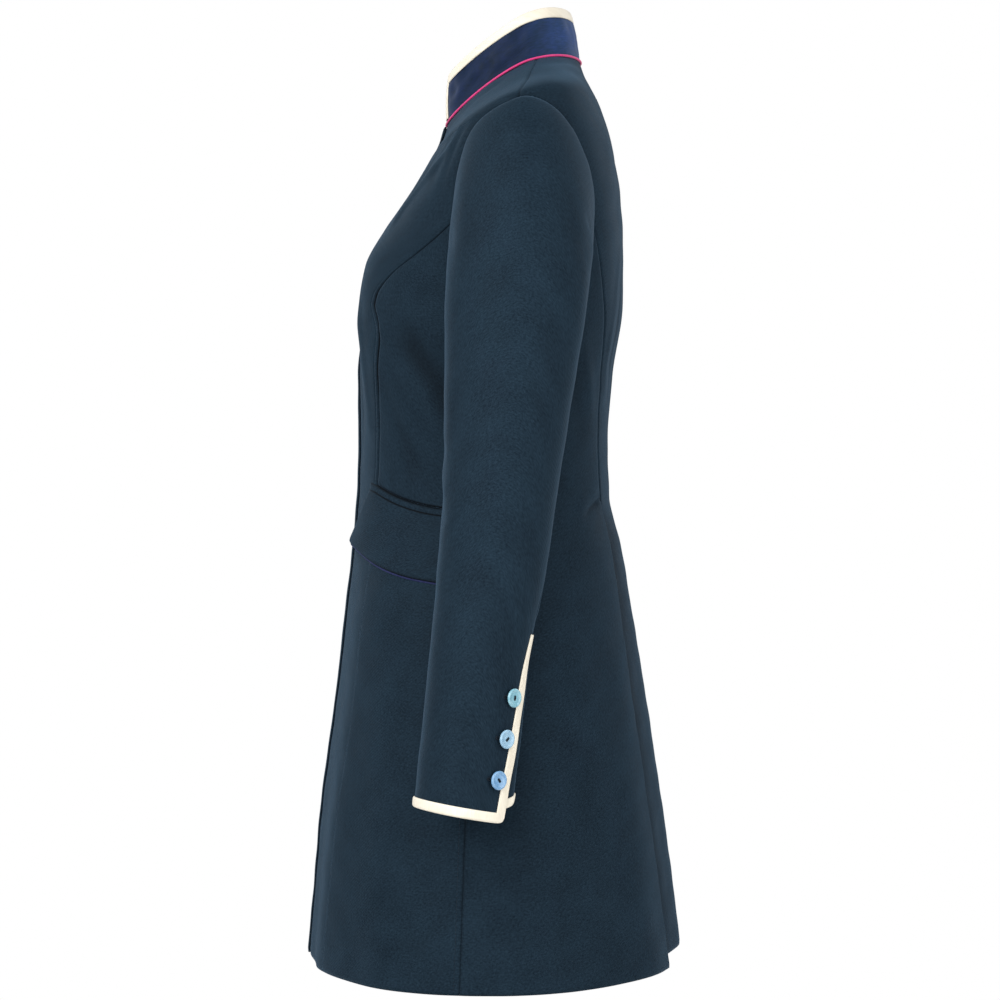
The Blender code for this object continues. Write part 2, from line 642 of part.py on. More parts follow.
def make_side_back(side_name, side):
    """The panel from the side seam to the back princess seam, with its skirt edge folded under as a pleat."""
    columns = 6
    turns = np.linspace(180.0, BACK_PRINCESS_TURN, columns + 1)
    top = np.stack(armhole(turns), axis=-1)
    skirt_levels = np.linspace(PLEAT_OPEN, HEM, SKIRT_STEPS)
    princess_levels = np.linspace(top[-1, 1], PLEAT_TOP, BODICE_STEPS + 1)
    right_levels = np.concatenate([princess_levels, skirt_levels])
    rows = len(right_levels)
    share = (right_levels - right_levels[0]) / (HEM - right_levels[0])
    pocket_end = pocket_line(1.0)[1]
    skirt_shares = (np.arange(1, SKIRT_STEPS + 1) / SKIRT_STEPS) ** SKIRT_SPACING
    left_levels = np.concatenate(
        [
            np.linspace(top[0, 1], pocket_end, BODICE_STEPS + 1),
            pocket_end + (HEM - pocket_end) * skirt_shares,
        ]
    )
    right_angles = np.concatenate(
        [read_table(BACK_PRINCESS, "angle", princess_levels), read_table(PLEAT_FOLD, "angle", skirt_levels)]
    )
    left = np.stack([read_table(SIDE_SEAM, "angle", left_levels), left_levels], axis=-1)
    right = np.stack([right_angles, right_levels], axis=-1)
    top[0, 0] = left[0, 0]
    right[0] = top[-1]
    bottom = left[-1] + (right[-1] - left[-1]) * np.linspace(0.0, 1.0, columns + 1)[:, None]
    grid = inside_edges(left, right, top, bottom, share)
    points = np.full((rows, columns + 3, 3), np.nan)
    points[:, : columns + 1] = body(grid[..., 0], grid[..., 1])
    skirt = slice(BODICE_STEPS + 1, rows)
    fold_angle = right[skirt, 0]
    fold_level = right[skirt, 1]
    inward = -body_normal(fold_angle, fold_level) * PLEAT_BEND
    points[skirt, columns + 1] = points[skirt, columns] + inward
    width = pleat_width(PLEAT_RETURN, fold_level)
    back_angle = fold_angle - around(width, fold_angle, fold_level)
    return_inward = -body_normal(back_angle, fold_level) * PLEAT_BEND
    points[skirt, columns + 2] = body(back_angle, fold_level) + return_inward
    points = inset_edges(points, SEAM_GAP)
    add_sheet("side_back_" + side_name, mirrored(points, side), CLOTH, COAT_CLOTH, side > 0)


def make_back():
    """The centre back, one piece from princess seam to princess seam, running under both pleats."""
    half_columns = 5
    turns = np.linspace(0.0, BACK_PRINCESS_TURN, ARMHOLE_STEPS + 1)[1:]
    hole_angles, hole_levels = armhole(turns)
    princess_levels = np.linspace(hole_levels[-1], PLEAT_TOP, BODICE_STEPS + 1)[1:]
    skirt_levels = np.linspace(PLEAT_OPEN, BACK_HEM, SKIRT_STEPS)
    levels = np.concatenate([SHOULDER_ROWS, hole_levels, princess_levels, skirt_levels])
    outer = np.concatenate(
        [
            read_table(SHOULDER_SEAM, "angle", SHOULDER_ROWS),
            hole_angles,
            read_table(BACK_PRINCESS, "angle", princess_levels),
            read_table(PLEAT_FOLD, "angle", skirt_levels),
        ]
    )
    first_skirt = len(levels) - len(skirt_levels)
    columns = 2 * half_columns + 1
    points = np.full((len(levels), columns + 2, 3), np.nan)
    shares = np.linspace(-1.0, 1.0, columns)
    for row, level in enumerate(levels):
        angle = 180.0 + (180.0 - outer[row]) * shares
        row_levels = np.full(columns, level)
        depth = pleat_depth(level) * smooth_step(np.abs(shares), 0.0, 1.0)
        points[row, 1:-1] = body(angle, row_levels) - body_normal(angle, row_levels) * depth[:, None]
        if row >= first_skirt:
            width = pleat_width(PLEAT_RETURN - PLEAT_BACK_SHORT, level)
            for end, sign in ((0, -1.0), (columns + 1, 1.0)):
                edge = 180.0 + (180.0 - outer[row]) * sign
                under = edge + sign * around(width, edge, level)
                points[row, end] = body(under, level) - body_normal(under, level) * pleat_depth(level)
    points = inset_edges(points, SEAM_GAP)
    add_sheet("back", points, CLOTH, COAT_CLOTH, True)


# ----------------------------------------------------------------------------------------------------
# Collar, its binding and the neck piping


def collar_point(angle, up):
    """Point on the inside of the collar: up 0 at the neck seam, 1 at the top edge."""
    angle, up = np.broadcast_arrays(np.asarray(angle, dtype=float), np.asarray(up, dtype=float))
    base = body(angle, np.zeros_like(angle)) + np.array([0.0, 0.0, COLLAR_SEAM_RISE])
    across = np.sin(np.radians(angle))
    along = np.cos(np.radians(angle))
    share = np.abs(along)
    y_end = np.where(along > 0, COLLAR_TOP.y_front, COLLAR_TOP.y_back)
    z_end = np.where(along > 0, COLLAR_TOP.z_front, COLLAR_TOP.z_back)
    rise = climb(share, along > 0, COLLAR_FRONT_CLIMB, COLLAR_BACK_CLIMB)
    top = np.stack(
        [
            COLLAR_TOP.half_width * across,
            COLLAR_TOP.y_side + (y_end - COLLAR_TOP.y_side) * share,
            COLLAR_TOP.z_side + (z_end - COLLAR_TOP.z_side) * rise,
        ],
        axis=-1,
    )
    t = up[..., None]
    bow = np.sin(np.pi * t) * COLLAR_BOW
    outward = np.stack([across, -along, np.zeros_like(across)], axis=-1)
    return base + (top - base) * t + outward * bow


def collar_normal(angle, up):
    """Outward direction of the collar's cloth."""
    angle, up = np.broadcast_arrays(np.asarray(angle, dtype=float), np.asarray(up, dtype=float))
    round_neck = collar_point(angle + 0.5, up) - collar_point(angle - 0.5, up)
    rise = collar_point(angle, np.clip(up + 0.02, 0, 1)) - collar_point(angle, np.clip(up - 0.02, 0, 1))
    return unit(np.cross(round_neck, rise))


def make_collar():
    end = np.degrees(np.arcsin(COLLAR_END / BODY_RINGS[0].half_width))
    bound_end = np.degrees(np.arcsin((COLLAR_END + BINDING_WIDTH) / BODY_RINGS[0].half_width))
    between = np.linspace(bound_end, 360.0 - bound_end, COLLAR_COLUMNS - 1)
    angles = np.concatenate([[end], between, [360.0 - end]])
    bound_up = 1.0 - BINDING_WIDTH / COLLAR_HEIGHT
    ups = np.array([1.0, bound_up, bound_up / 2, 0.0])
    add_sheet("collar", collar_point(angles[None, :], ups[:, None]), CLOTH, COLLAR_SATIN, True)

    front_ups = ups[:1:-1]
    edge_angles = np.concatenate([[end] * len(front_ups), angles, [360.0 - end] * len(front_ups)])
    edge_ups = np.concatenate([front_ups, np.ones(len(angles)), front_ups[::-1]])
    inside_angles = np.clip(edge_angles, bound_end, 360.0 - bound_end)
    inside_ups = np.minimum(edge_ups, bound_up)
    edge = (collar_point(edge_angles, edge_ups), collar_normal(edge_angles, edge_ups))
    inside = (collar_point(inside_angles, inside_ups), collar_normal(inside_angles, inside_ups))
    add_binding("collar_binding", edge, inside, CREAM_BINDING, False)


def make_neck_piping():
    """A covered cord let into the neck seam."""
    end = np.degrees(np.arcsin(NECK_PIPING_END / BODY_RINGS[0].half_width))
    angles = np.linspace(end, 360.0 - end, NECK_PIPING_POINTS)
    seam = body(angles, np.zeros_like(angles))
    coat_out = body_normal(angles, np.full_like(angles, -0.002))
    collar_out = collar_normal(angles, np.full_like(angles, 0.05))
    reach = CLOTH + SEAM_GAP + NECK_PIPING_RADIUS
    between = coat_out + collar_out
    scale = reach / (1 + np.sum(coat_out * collar_out, axis=-1, keepdims=True))
    add_tube("neck_piping", seam + between * scale * NECK_PIPING_EASE, NECK_PIPING_RADIUS, MAGENTA_PIPING)


# ----------------------------------------------------------------------------------------------------
# Sleeves, their bindings and buttons

HEAD_DOWNS = (0.0, 0.05, 0.22, 0.42, 0.66, 1.0)
SLEEVE_LEVELS = (-0.310, -0.380, -0.455, VENT_TOP, -0.558, -0.588, -0.618, -0.645, CUFF + BINDING_WIDTH, CUFF)
TOP_SLEEVE_COLUMNS = 10
UNDER_SLEEVE_COLUMNS = 7
BINDING_TURN = 10.7


def make_sleeve(side_name, side):
    """The top sleeve with its bound cuff and vent, and the under sleeve with its bound cuff."""
    downs = np.array(HEAD_DOWNS + tuple(sleeve_down(level) for level in SLEEVE_LEVELS))
    vent_start = len(HEAD_DOWNS) + SLEEVE_LEVELS.index(VENT_TOP)
    hind = hind_seam(downs)

    shares = np.linspace(0.0, 1.0, TOP_SLEEVE_COLUMNS)
    turns = FORE_SEAM_TURN + (hind[:, None] - BINDING_TURN - FORE_SEAM_TURN) * shares[None, :]
    turns = np.concatenate([turns, hind[:, None]], axis=1)
    all_downs = np.repeat(downs[:, None], TOP_SLEEVE_COLUMNS + 1, axis=1)
    top_points = sleeve(turns, all_downs)
    top_normals = sleeve_normal(turns, all_downs)
    points = mirrored(inset_edges(top_points, SEAM_GAP), side)
    add_sheet("top_sleeve_" + side_name, points, CLOTH, COAT_CLOTH, side > 0)

    up_the_vent = np.arange(len(downs) - 2, vent_start - 1, -1)
    rows = np.concatenate([np.full(TOP_SLEEVE_COLUMNS + 1, -1), up_the_vent])
    cols = np.concatenate([np.arange(TOP_SLEEVE_COLUMNS + 1), np.full(len(downs) - 1 - vent_start, -1)])
    inner_rows = np.where(rows == -1, len(downs) - 2, rows)
    inner_cols = np.where((cols == -1) | (cols == TOP_SLEEVE_COLUMNS), TOP_SLEEVE_COLUMNS - 1, cols)
    edge = (mirrored(top_points[rows, cols], side), mirrored(top_normals[rows, cols], side))
    inside = (
        mirrored(top_points[inner_rows, inner_cols], side),
        mirrored(top_normals[inner_rows, inner_cols], side),
    )
    add_binding("cuff_binding_" + side_name, edge, inside, CREAM_BINDING, side > 0)

    shares = np.linspace(0.0, 1.0, UNDER_SLEEVE_COLUMNS + 1)
    turns = hind[:, None] + (360.0 + FORE_SEAM_TURN - hind[:, None]) * shares[None, :]
    all_downs = np.repeat(downs[:, None], UNDER_SLEEVE_COLUMNS + 1, axis=1)
    lap = np.zeros_like(turns)
    turns[vent_start:, 1] = hind[vent_start:] + VENT_FOLD_TURN
    turns[vent_start + 1 :, 0] -= VENT_UNDERLAP
    lap[vent_start:, 0] = 1.0
    lap[vent_start:, 1] = VENT_FOLD_STEP
    under_normals = sleeve_normal(turns, all_downs)
    under_points = sleeve(turns, all_downs) - under_normals * (VENT_STEP * lap[..., None])
    points = mirrored(inset_edges(under_points, SEAM_GAP), side)
    add_sheet("under_sleeve_" + side_name, points, CLOTH, COAT_CLOTH, side > 0)
    edge = (mirrored(under_points[-1], side), mirrored(under_normals[-1], side))
    inside = (mirrored(under_points[-2], side), mirrored(under_normals[-2], side))
    add_binding("under_cuff_binding_" + side_name, edge, inside, CREAM_BINDING, side > 0)


def button_mesh():
    """A flat button with a softened rim and two holes."""
    bm = bmesh.new()
    bmesh.ops.create_cone(
        bm,
        cap_ends=True,
        segments=16,
        radius1=BUTTON_RADIUS,
        radius2=BUTTON_RADIUS * 0.88,
        depth=BUTTON_HEIGHT,
    )
    mesh = bpy.data.meshes.new("button")
    bm.to_mesh(mesh)
    bm.free()
    disc = bpy.data.objects.new("button_blank", mesh)
    coat_collection.objects.link(disc)
    for place in (-1, 1):
        bm = bmesh.new()
        bmesh.ops.create_cone(
            bm,
            cap_ends=True,
            segments=8,
            radius1=BUTTON_HOLE_RADIUS,
            radius2=BUTTON_HOLE_RADIUS,
            depth=BUTTON_HEIGHT * 3,
        )
        hole_mesh = bpy.data.meshes.new("button_hole")
        bm.to_mesh(hole_mesh)
        bm.free()
        hole = bpy.data.objects.new("button_hole", hole_mesh)
        cutter_collection.objects.link(hole)
        hole.location = (place * BUTTON_HOLE_SPACING / 2, 0.0, 0.0)
        hole.hide_render = True
        hole.display_type = "WIRE"
        cut = disc.modifiers.new("hole", "BOOLEAN")
        cut.operation = "DIFFERENCE"
        cut.object = hole
    bpy.context.view_layer.update()
    graph = bpy.context.evaluated_depsgraph_get()
    finished = bpy.data.meshes.new_from_object(disc.evaluated_get(graph))
    finished.name = "cuff_button"
    finished.materials.clear()
    finished.materials.append(BUTTON_PEARL)
    finished.set_sharp_from_angle(angle=math.radians(40))
    bpy.data.objects.remove(disc)
    return finished


def make_buttons(mesh, side_name, side):
    """Three buttons beside each cuff vent, each at its own turn, just clear of the binding they lap over."""
    for number, (level, spin) in enumerate(zip(BUTTON_LEVELS, BUTTON_SPINS), start=1):
        down = sleeve_down(level)
        edge_turn = hind_seam(down)
        turn = edge_turn - np.degrees(BUTTON_INSET / read_table(SLEEVE_RINGS, "half_x", level))
        normal = sleeve_normal(turn, down)
        seat = CLOTH + BINDING_EASE + BINDING_CLOTH + SEAM_GAP
        centre = sleeve(turn, down) + normal * (seat + BUTTON_HEIGHT / 2)
        button = bpy.data.objects.new(f"cuff_button_{side_name}_{number}", mesh)
        coat_collection.objects.link(button)
        facing = Vector(mirrored(normal, side)).to_track_quat("Z", "Y")
        button.rotation_mode = "QUATERNION"
        button.rotation_quaternion = facing @ Quaternion((0.0, 0.0, 1.0), math.radians(spin * side))
        button.location = mirrored(centre, side)


# ----------------------------------------------------------------------------------------------------
# Pockets

FLAP_COLUMNS = 8
FLAP_ROWS = 4


def on_body(angle, level, lift):
    """Point at the given height above the outside of the body's cloth."""
    return body(angle, level) + body_normal(angle, level) * (CLOTH + np.asarray(lift))[..., None]


def flap_points():
    """The flap's inner face: it leans forward, and its free front corner is round and stands a little proud."""
    u = np.linspace(0.0, 1.0, FLAP_COLUMNS + 1)[None, :]
    v = np.linspace(0.0, 1.0, FLAP_ROWS + 1)[:, None]
    u, v = np.broadcast_arrays(u, v)
    corner = ((u == 0) & (v == 1)) * FLAP_CORNER
    angle, level = pocket_line(POCKET_START + (POCKET_END - POCKET_START) * u)
    drop = FLAP_DROP_FRONT + (FLAP_DROP_BACK - FLAP_DROP_FRONT) * u - JET_HEIGHT - SEAM_GAP
    lean = FLAP_LEAN + (FLAP_LEAN_BACK - FLAP_LEAN) * u
    level = level - JET_HEIGHT - SEAM_GAP - drop * v + corner
    angle = angle - around(lean * v - corner, angle, level)
    lift = FLAP_EASE + FLAP_STAND * v * (1 - u) ** 2
    return angle, level, lift


def make_pocket(side_name, side):
    """A jet along the pocket seam, the flap below it and the piping round the flap's free edges."""
    shares = np.linspace(POCKET_START, POCKET_END, FLAP_COLUMNS + 1)
    angle, level = pocket_line(shares)
    jet = np.stack(
        [
            on_body(angle, level - POCKET_SEAM_GAP, np.full(len(shares), JET_EASE)),
            on_body(angle, level - JET_HEIGHT, np.full(len(shares), JET_EASE)),
        ]
    )
    add_sheet("pocket_jet_" + side_name, mirrored(jet, side), CLOTH, COAT_CLOTH, side > 0)

    angle, level, lift = flap_points()
    points = on_body(angle, level, lift)
    normals = body_normal(angle, level)
    add_sheet("pocket_flap_" + side_name, mirrored(points, side), FLAP_CLOTH, COAT_CLOTH, side > 0)

    last_row = FLAP_ROWS
    rows = list(range(0, last_row)) + [last_row] * (FLAP_COLUMNS + 1)
    cols = [0] * last_row + list(range(FLAP_COLUMNS + 1))
    line = []
    for row, col in zip(rows, cols):
        inner = points[min(row, last_row - 1), max(col, 1)]
        if row < last_row:
            inner = points[row, 1]
        elif col > 0:
            inner = points[last_row - 1, col]
        outward = unit(points[row, col] - inner)
        line.append(
            points[row, col]
            + normals[row, col] * FLAP_CLOTH / 2
            + outward * (FLAP_PIPING_RADIUS + FLAP_PIPING_GAP)
        )
    add_tube("flap_piping_" + side_name, mirrored(np.array(line), side), FLAP_PIPING_RADIUS, NAVY_PIPING)


shared_button = button_mesh()
for side_name, side in SIDES:
    make_front(side_name, side)
    make_side_front(side_name, side)
    make_side_back(side_name, side)
    make_sleeve(side_name, side)
    make_buttons(shared_button, side_name, side)
    make_pocket(side_name, side)
make_back()
make_collar()
make_neck_piping()
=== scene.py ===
"""The looks of a fitted, flared redingote, piece by piece as a tailor puts it together."""

import math
from collections import namedtuple

import bmesh
import bpy
import numpy as np
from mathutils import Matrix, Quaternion, Vector


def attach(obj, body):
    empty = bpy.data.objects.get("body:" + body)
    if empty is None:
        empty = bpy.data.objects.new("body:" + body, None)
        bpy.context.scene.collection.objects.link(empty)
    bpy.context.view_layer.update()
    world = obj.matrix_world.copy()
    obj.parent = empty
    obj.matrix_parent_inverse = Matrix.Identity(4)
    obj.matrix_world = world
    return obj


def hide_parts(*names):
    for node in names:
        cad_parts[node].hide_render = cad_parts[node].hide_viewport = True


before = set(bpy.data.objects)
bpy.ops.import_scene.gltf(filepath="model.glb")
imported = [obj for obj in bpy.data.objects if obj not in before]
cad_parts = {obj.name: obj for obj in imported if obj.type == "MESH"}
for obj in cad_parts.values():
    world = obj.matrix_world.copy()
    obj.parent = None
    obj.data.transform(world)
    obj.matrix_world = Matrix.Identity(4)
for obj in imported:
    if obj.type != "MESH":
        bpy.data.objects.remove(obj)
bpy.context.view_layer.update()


# ------------------------------------------------------------------------------
# Centre back. One panel of smooth navy worsted from princess seam to princess seam, with no centre seam.
# It is shaped at its side edges and pressed to the figure; below the waist they run under the two pleats.
# It is sewn first, so the form of the whole coat, its folds and its cloth are set out here.

CLOTH = 0.0016
SEAM_GAP = 0.0003
SHOULDER_END = -0.050
PLEAT_TOP = -0.416
HEM = -0.835
BACK_HEM = -0.829
GRID_STEP = 0.0033
PANEL_SAMPLES = 181
ARMHOLE_ROWS = 46
NECK_ROWS = (0.0, 0.0005, 0.0012, 0.0022, 0.0036)
SEAM_COLUMNS = (0.0, 0.0004, 0.0009, 0.0015, 0.0023, 0.0034, 0.0050)
SEAM_COLUMNS_MOST = 0.45
# Painted shade: how wide and how dark it lies in the seams, the colour it darkens the cloth to, and how dark
# it lies in the hollows of the creases
SEAM_SHADE_WIDTH = 0.0012
SEAM_SHADE_MOST = 0.95
SEAM_SHADE_COLOUR = (0.0006, 0.0010, 0.0018, 1.0)
HOLLOW_SHADE = 0.50
HOLLOW_FULL = 0.0024

# A pressed seam or edge: how far the cloth turns in at it, over what width, and how dark the shade painted
# down in it is
Press = namedtuple("Press", "depth width dark")
NECK_PRESS = Press(0.0010, 0.0015, 1.6)
BACK_PRINCESS_PRESS = Press(0.0015, 0.0014, 0.85)
HEM_PRESS = Press(0.0005, 0.0012, 0.0)

BodyRing = namedtuple(
    "BodyRing", "level z_front z_side z_back y_front y_side y_back half_width square_front square_back"
)
BODY_RINGS = (
    BodyRing(0.000, -0.0620, -0.0132, -0.0040, -0.0590, 0.0150, 0.0620, 0.0635, 2.0, 2.0),
    BodyRing(-0.022, -0.0800, -0.0375, -0.0230, -0.0635, 0.0130, 0.0680, 0.1300, 2.2, 2.1),
    BodyRing(SHOULDER_END, -0.1050, -0.0645, -0.0500, -0.0765, 0.0050, 0.0790, 0.1950, 2.3, 2.3),
    BodyRing(-0.095, -0.1380, -0.1020, -0.0950, -0.0965, 0.0060, 0.0925, 0.1930, 2.4, 2.6),
    BodyRing(-0.135, -0.1680, -0.1380, -0.1350, -0.1165, 0.0060, 0.0985, 0.1870, 2.4, 2.8),
    BodyRing(-0.180, -0.2000, -0.1800, -0.1800, -0.1305, 0.0030, 0.1015, 0.1780, 2.4, 2.8),
    BodyRing(-0.235, -0.2350, -0.2350, -0.2350, -0.1325, 0.0000, 0.1005, 0.1670, 2.4, 2.6),
    BodyRing(-0.300, -0.3000, -0.3000, -0.3000, -0.1395, -0.0050, 0.0912, 0.1510, 2.4, 2.4),
    BodyRing(-0.360, -0.3600, -0.3600, -0.3600, -0.1400, -0.0120, 0.0880, 0.1405, 2.3, 2.3),
    BodyRing(-0.410, -0.4100, -0.4100, -0.4100, -0.1415, -0.0160, 0.0895, 0.1380, 2.3, 2.2),
    BodyRing(-0.455, -0.4550, -0.4550, -0.4550, -0.1450, -0.0190, 0.1000, 0.1520, 2.3, 2.2),
    BodyRing(-0.515, -0.5150, -0.5150, -0.5150, -0.1520, -0.0200, 0.1105, 0.1770, 2.3, 2.1),
    BodyRing(-0.605, -0.6050, -0.6050, -0.6050, -0.1620, -0.0200, 0.1250, 0.2000, 2.2, 2.0),
    BodyRing(-0.700, -0.7000, -0.7000, -0.7000, -0.1745, -0.0200, 0.1395, 0.2180, 2.2, 2.0),
    BodyRing(HEM, -0.8350, -0.8350, -0.8350, -0.1855, -0.0200, 0.1570, 0.2400, 2.2, 2.0),
)
# How the rings climb from the side to the front and back: the straight share, and the bend of the rest
Climb = namedtuple("Climb", "straight bend")
FRONT_CLIMB = Climb(0.5, 1.5)
BACK_CLIMB = Climb(1.6, 2.0)
Bust = namedtuple("Bust", "x z height spread_x spread_up spread_down fade")
BUST = Bust(0.086, -0.238, 0.0135, 0.048, 0.060, 0.062, 0.35)

SeamPoint = namedtuple("SeamPoint", "level angle")
SHOULDER_SEAM = (SeamPoint(0.0, 99.0), SeamPoint(-0.022, 92.0), SeamPoint(SHOULDER_END, 90.0))
BACK_PRINCESS = (
    SeamPoint(-0.170, 128.0),
    SeamPoint(-0.235, 138.0),
    SeamPoint(-0.300, 146.0),
    SeamPoint(-0.360, 149.0),
    SeamPoint(PLEAT_TOP, 152.0),
)
PLEAT_FOLD = (
    SeamPoint(PLEAT_TOP, 152.0),
    SeamPoint(-0.520, 151.5),
    SeamPoint(-0.650, 152.5),
    SeamPoint(HEM, 155.0),
)
Armhole = namedtuple("Armhole", "top widest bottom front side back square slope lean")
ARMHOLE = Armhole(SHOULDER_END, -0.150, -0.214, 65.2, 90.0, 127.0, 5.0, 0.005, 4.6)
BACK_PRINCESS_TURN = 102.0

PLEAT_OPEN = -0.440
PLEAT_START = -0.430
PLEAT_RETURN = 0.026
PLEAT_BACK_SHORT = 0.004
PLEAT_TOP_SHARE = 0.35
PLEAT_DEPTH_TOP = 0.0065
PLEAT_DEPTH_HEM = 0.0150
PLEAT_UNDER_COLUMNS = 7
# Painted shade on the centre back under each pleat's fold: how dark, and how far it reaches from the fold
PLEAT_SHADE = 0.85
PLEAT_SHADE_WIDTH = 0.050


def read_table(rows, column, level):
    """Smooth value of one table column at the given levels, with no overshoot between the rows."""
    level = np.asarray(level, dtype=float)
    heights = np.array([row.level for row in rows])
    values = np.array([getattr(row, column) for row in rows])
    steps = np.diff(heights)
    slopes = np.diff(values) / steps
    tangents = np.zeros(len(rows))
    tangents[0] = slopes[0]
    tangents[-1] = slopes[-1]
    for i in range(1, len(rows) - 1):
        if slopes[i - 1] * slopes[i] > 0:
            tangents[i] = 2 * slopes[i - 1] * slopes[i] / (slopes[i - 1] + slopes[i])
    cell = np.clip(np.searchsorted(-heights, -level, side="right") - 1, 0, len(rows) - 2)
    t = np.clip((level - heights[cell]) / steps[cell], 0.0, 1.0)
    return (
        values[cell] * (2 * t**3 - 3 * t**2 + 1)
        + tangents[cell] * steps[cell] * (t**3 - 2 * t**2 + t)
        + values[cell + 1] * (3 * t**2 - 2 * t**3)
        + tangents[cell + 1] * steps[cell] * (t**3 - t**2)
    )


def smooth_step(value, low, high):
    """0 below low, 1 above high, with a soft rise between them."""
    t = np.clip((np.asarray(value, dtype=float) - low) / (high - low), 0.0, 1.0)
    return t * t * (3 - 2 * t)


def climb(share, in_front, front, back):
    """Rise from 0 at the side to 1 at the front or back end of a ring."""
    straight = np.where(in_front, front.straight, back.straight)
    bend = np.where(in_front, front.bend, back.bend)
    return straight * share + (1 - straight) * share**bend


def unit(vectors):
    return vectors / np.maximum(np.linalg.norm(vectors, axis=-1, keepdims=True), 1e-12)


def body(angle, level):
    """Point on the inside of the coat's body: angle 0 at the front, 90 at the left side, 180 at the back."""
    angle, level = np.broadcast_arrays(np.asarray(angle, dtype=float), np.asarray(level, dtype=float))
    across = np.sin(np.radians(angle))
    along = np.cos(np.radians(angle))
    in_front = along > 0

    def ring(column):
        return read_table(BODY_RINGS, column, level)

    square = np.where(in_front, ring("square_front"), ring("square_back"))
    reach = (np.abs(across) ** square + np.abs(along) ** square) ** (-1 / square)
    share = reach * np.abs(along)
    y_side = ring("y_side")
    z_side = ring("z_side")
    y_end = np.where(in_front, ring("y_front"), ring("y_back"))
    z_end = np.where(in_front, ring("z_front"), ring("z_back"))
    x = ring("half_width") * reach * across
    y = y_side + (y_end - y_side) * share
    z = z_side + (z_end - z_side) * climb(share, in_front, FRONT_CLIMB, BACK_CLIMB)
    spread_z = np.where(z > BUST.z, BUST.spread_up, BUST.spread_down)
    bust = np.exp(-(((np.abs(x) - BUST.x) / BUST.spread_x) ** 2) - ((z - BUST.z) / spread_z) ** 2)
    y = y - BUST.height * bust * smooth_step(along, 0.0, BUST.fade)
    return np.stack([x, y, z], axis=-1)


def body_normal(angle, level):
    """Outward direction of the body's cloth."""
    turn = 0.05
    drop = 0.0002
    round_body = body(angle + turn, level) - body(np.asarray(angle) - turn, level)
    down_body = body(angle, np.asarray(level) - drop) - body(angle, np.asarray(level) + drop)
    return unit(np.cross(down_body, round_body))


def laid_on_body(grid):
    """Points and outward directions of a grid of angles and levels."""
    return body(grid[..., 0], grid[..., 1]), body_normal(grid[..., 0], grid[..., 1])


def armhole(turn):
    """Angle and level on the armhole seam: turn 0 at the shoulder, 90 at the back, 180 under the arm."""
    turn = np.radians(np.asarray(turn, dtype=float))
    up = np.cos(turn)
    back = np.sin(turn)
    front_top = (up > 0) & (back < 0)
    square = np.where(front_top, ARMHOLE.square, 2.0)
    reach = (np.abs(up) ** square + np.abs(back) ** square) ** (-1 / square)
    up = up * reach
    back = back * reach
    height = np.where(up > 0, ARMHOLE.top - ARMHOLE.widest, ARMHOLE.widest - ARMHOLE.bottom)
    height = height + np.where(front_top, ARMHOLE.slope * back, 0.0)
    width = np.where(back > 0, ARMHOLE.back - ARMHOLE.side, ARMHOLE.side - ARMHOLE.front)
    width = width + np.where(front_top, ARMHOLE.lean * up, 0.0)
    return ARMHOLE.side + width * back, ARMHOLE.widest + height * up


def mirrored(points, side):
    """The points on the left side, or their mirror on the right."""
    return points * np.array([side, 1.0, 1.0])


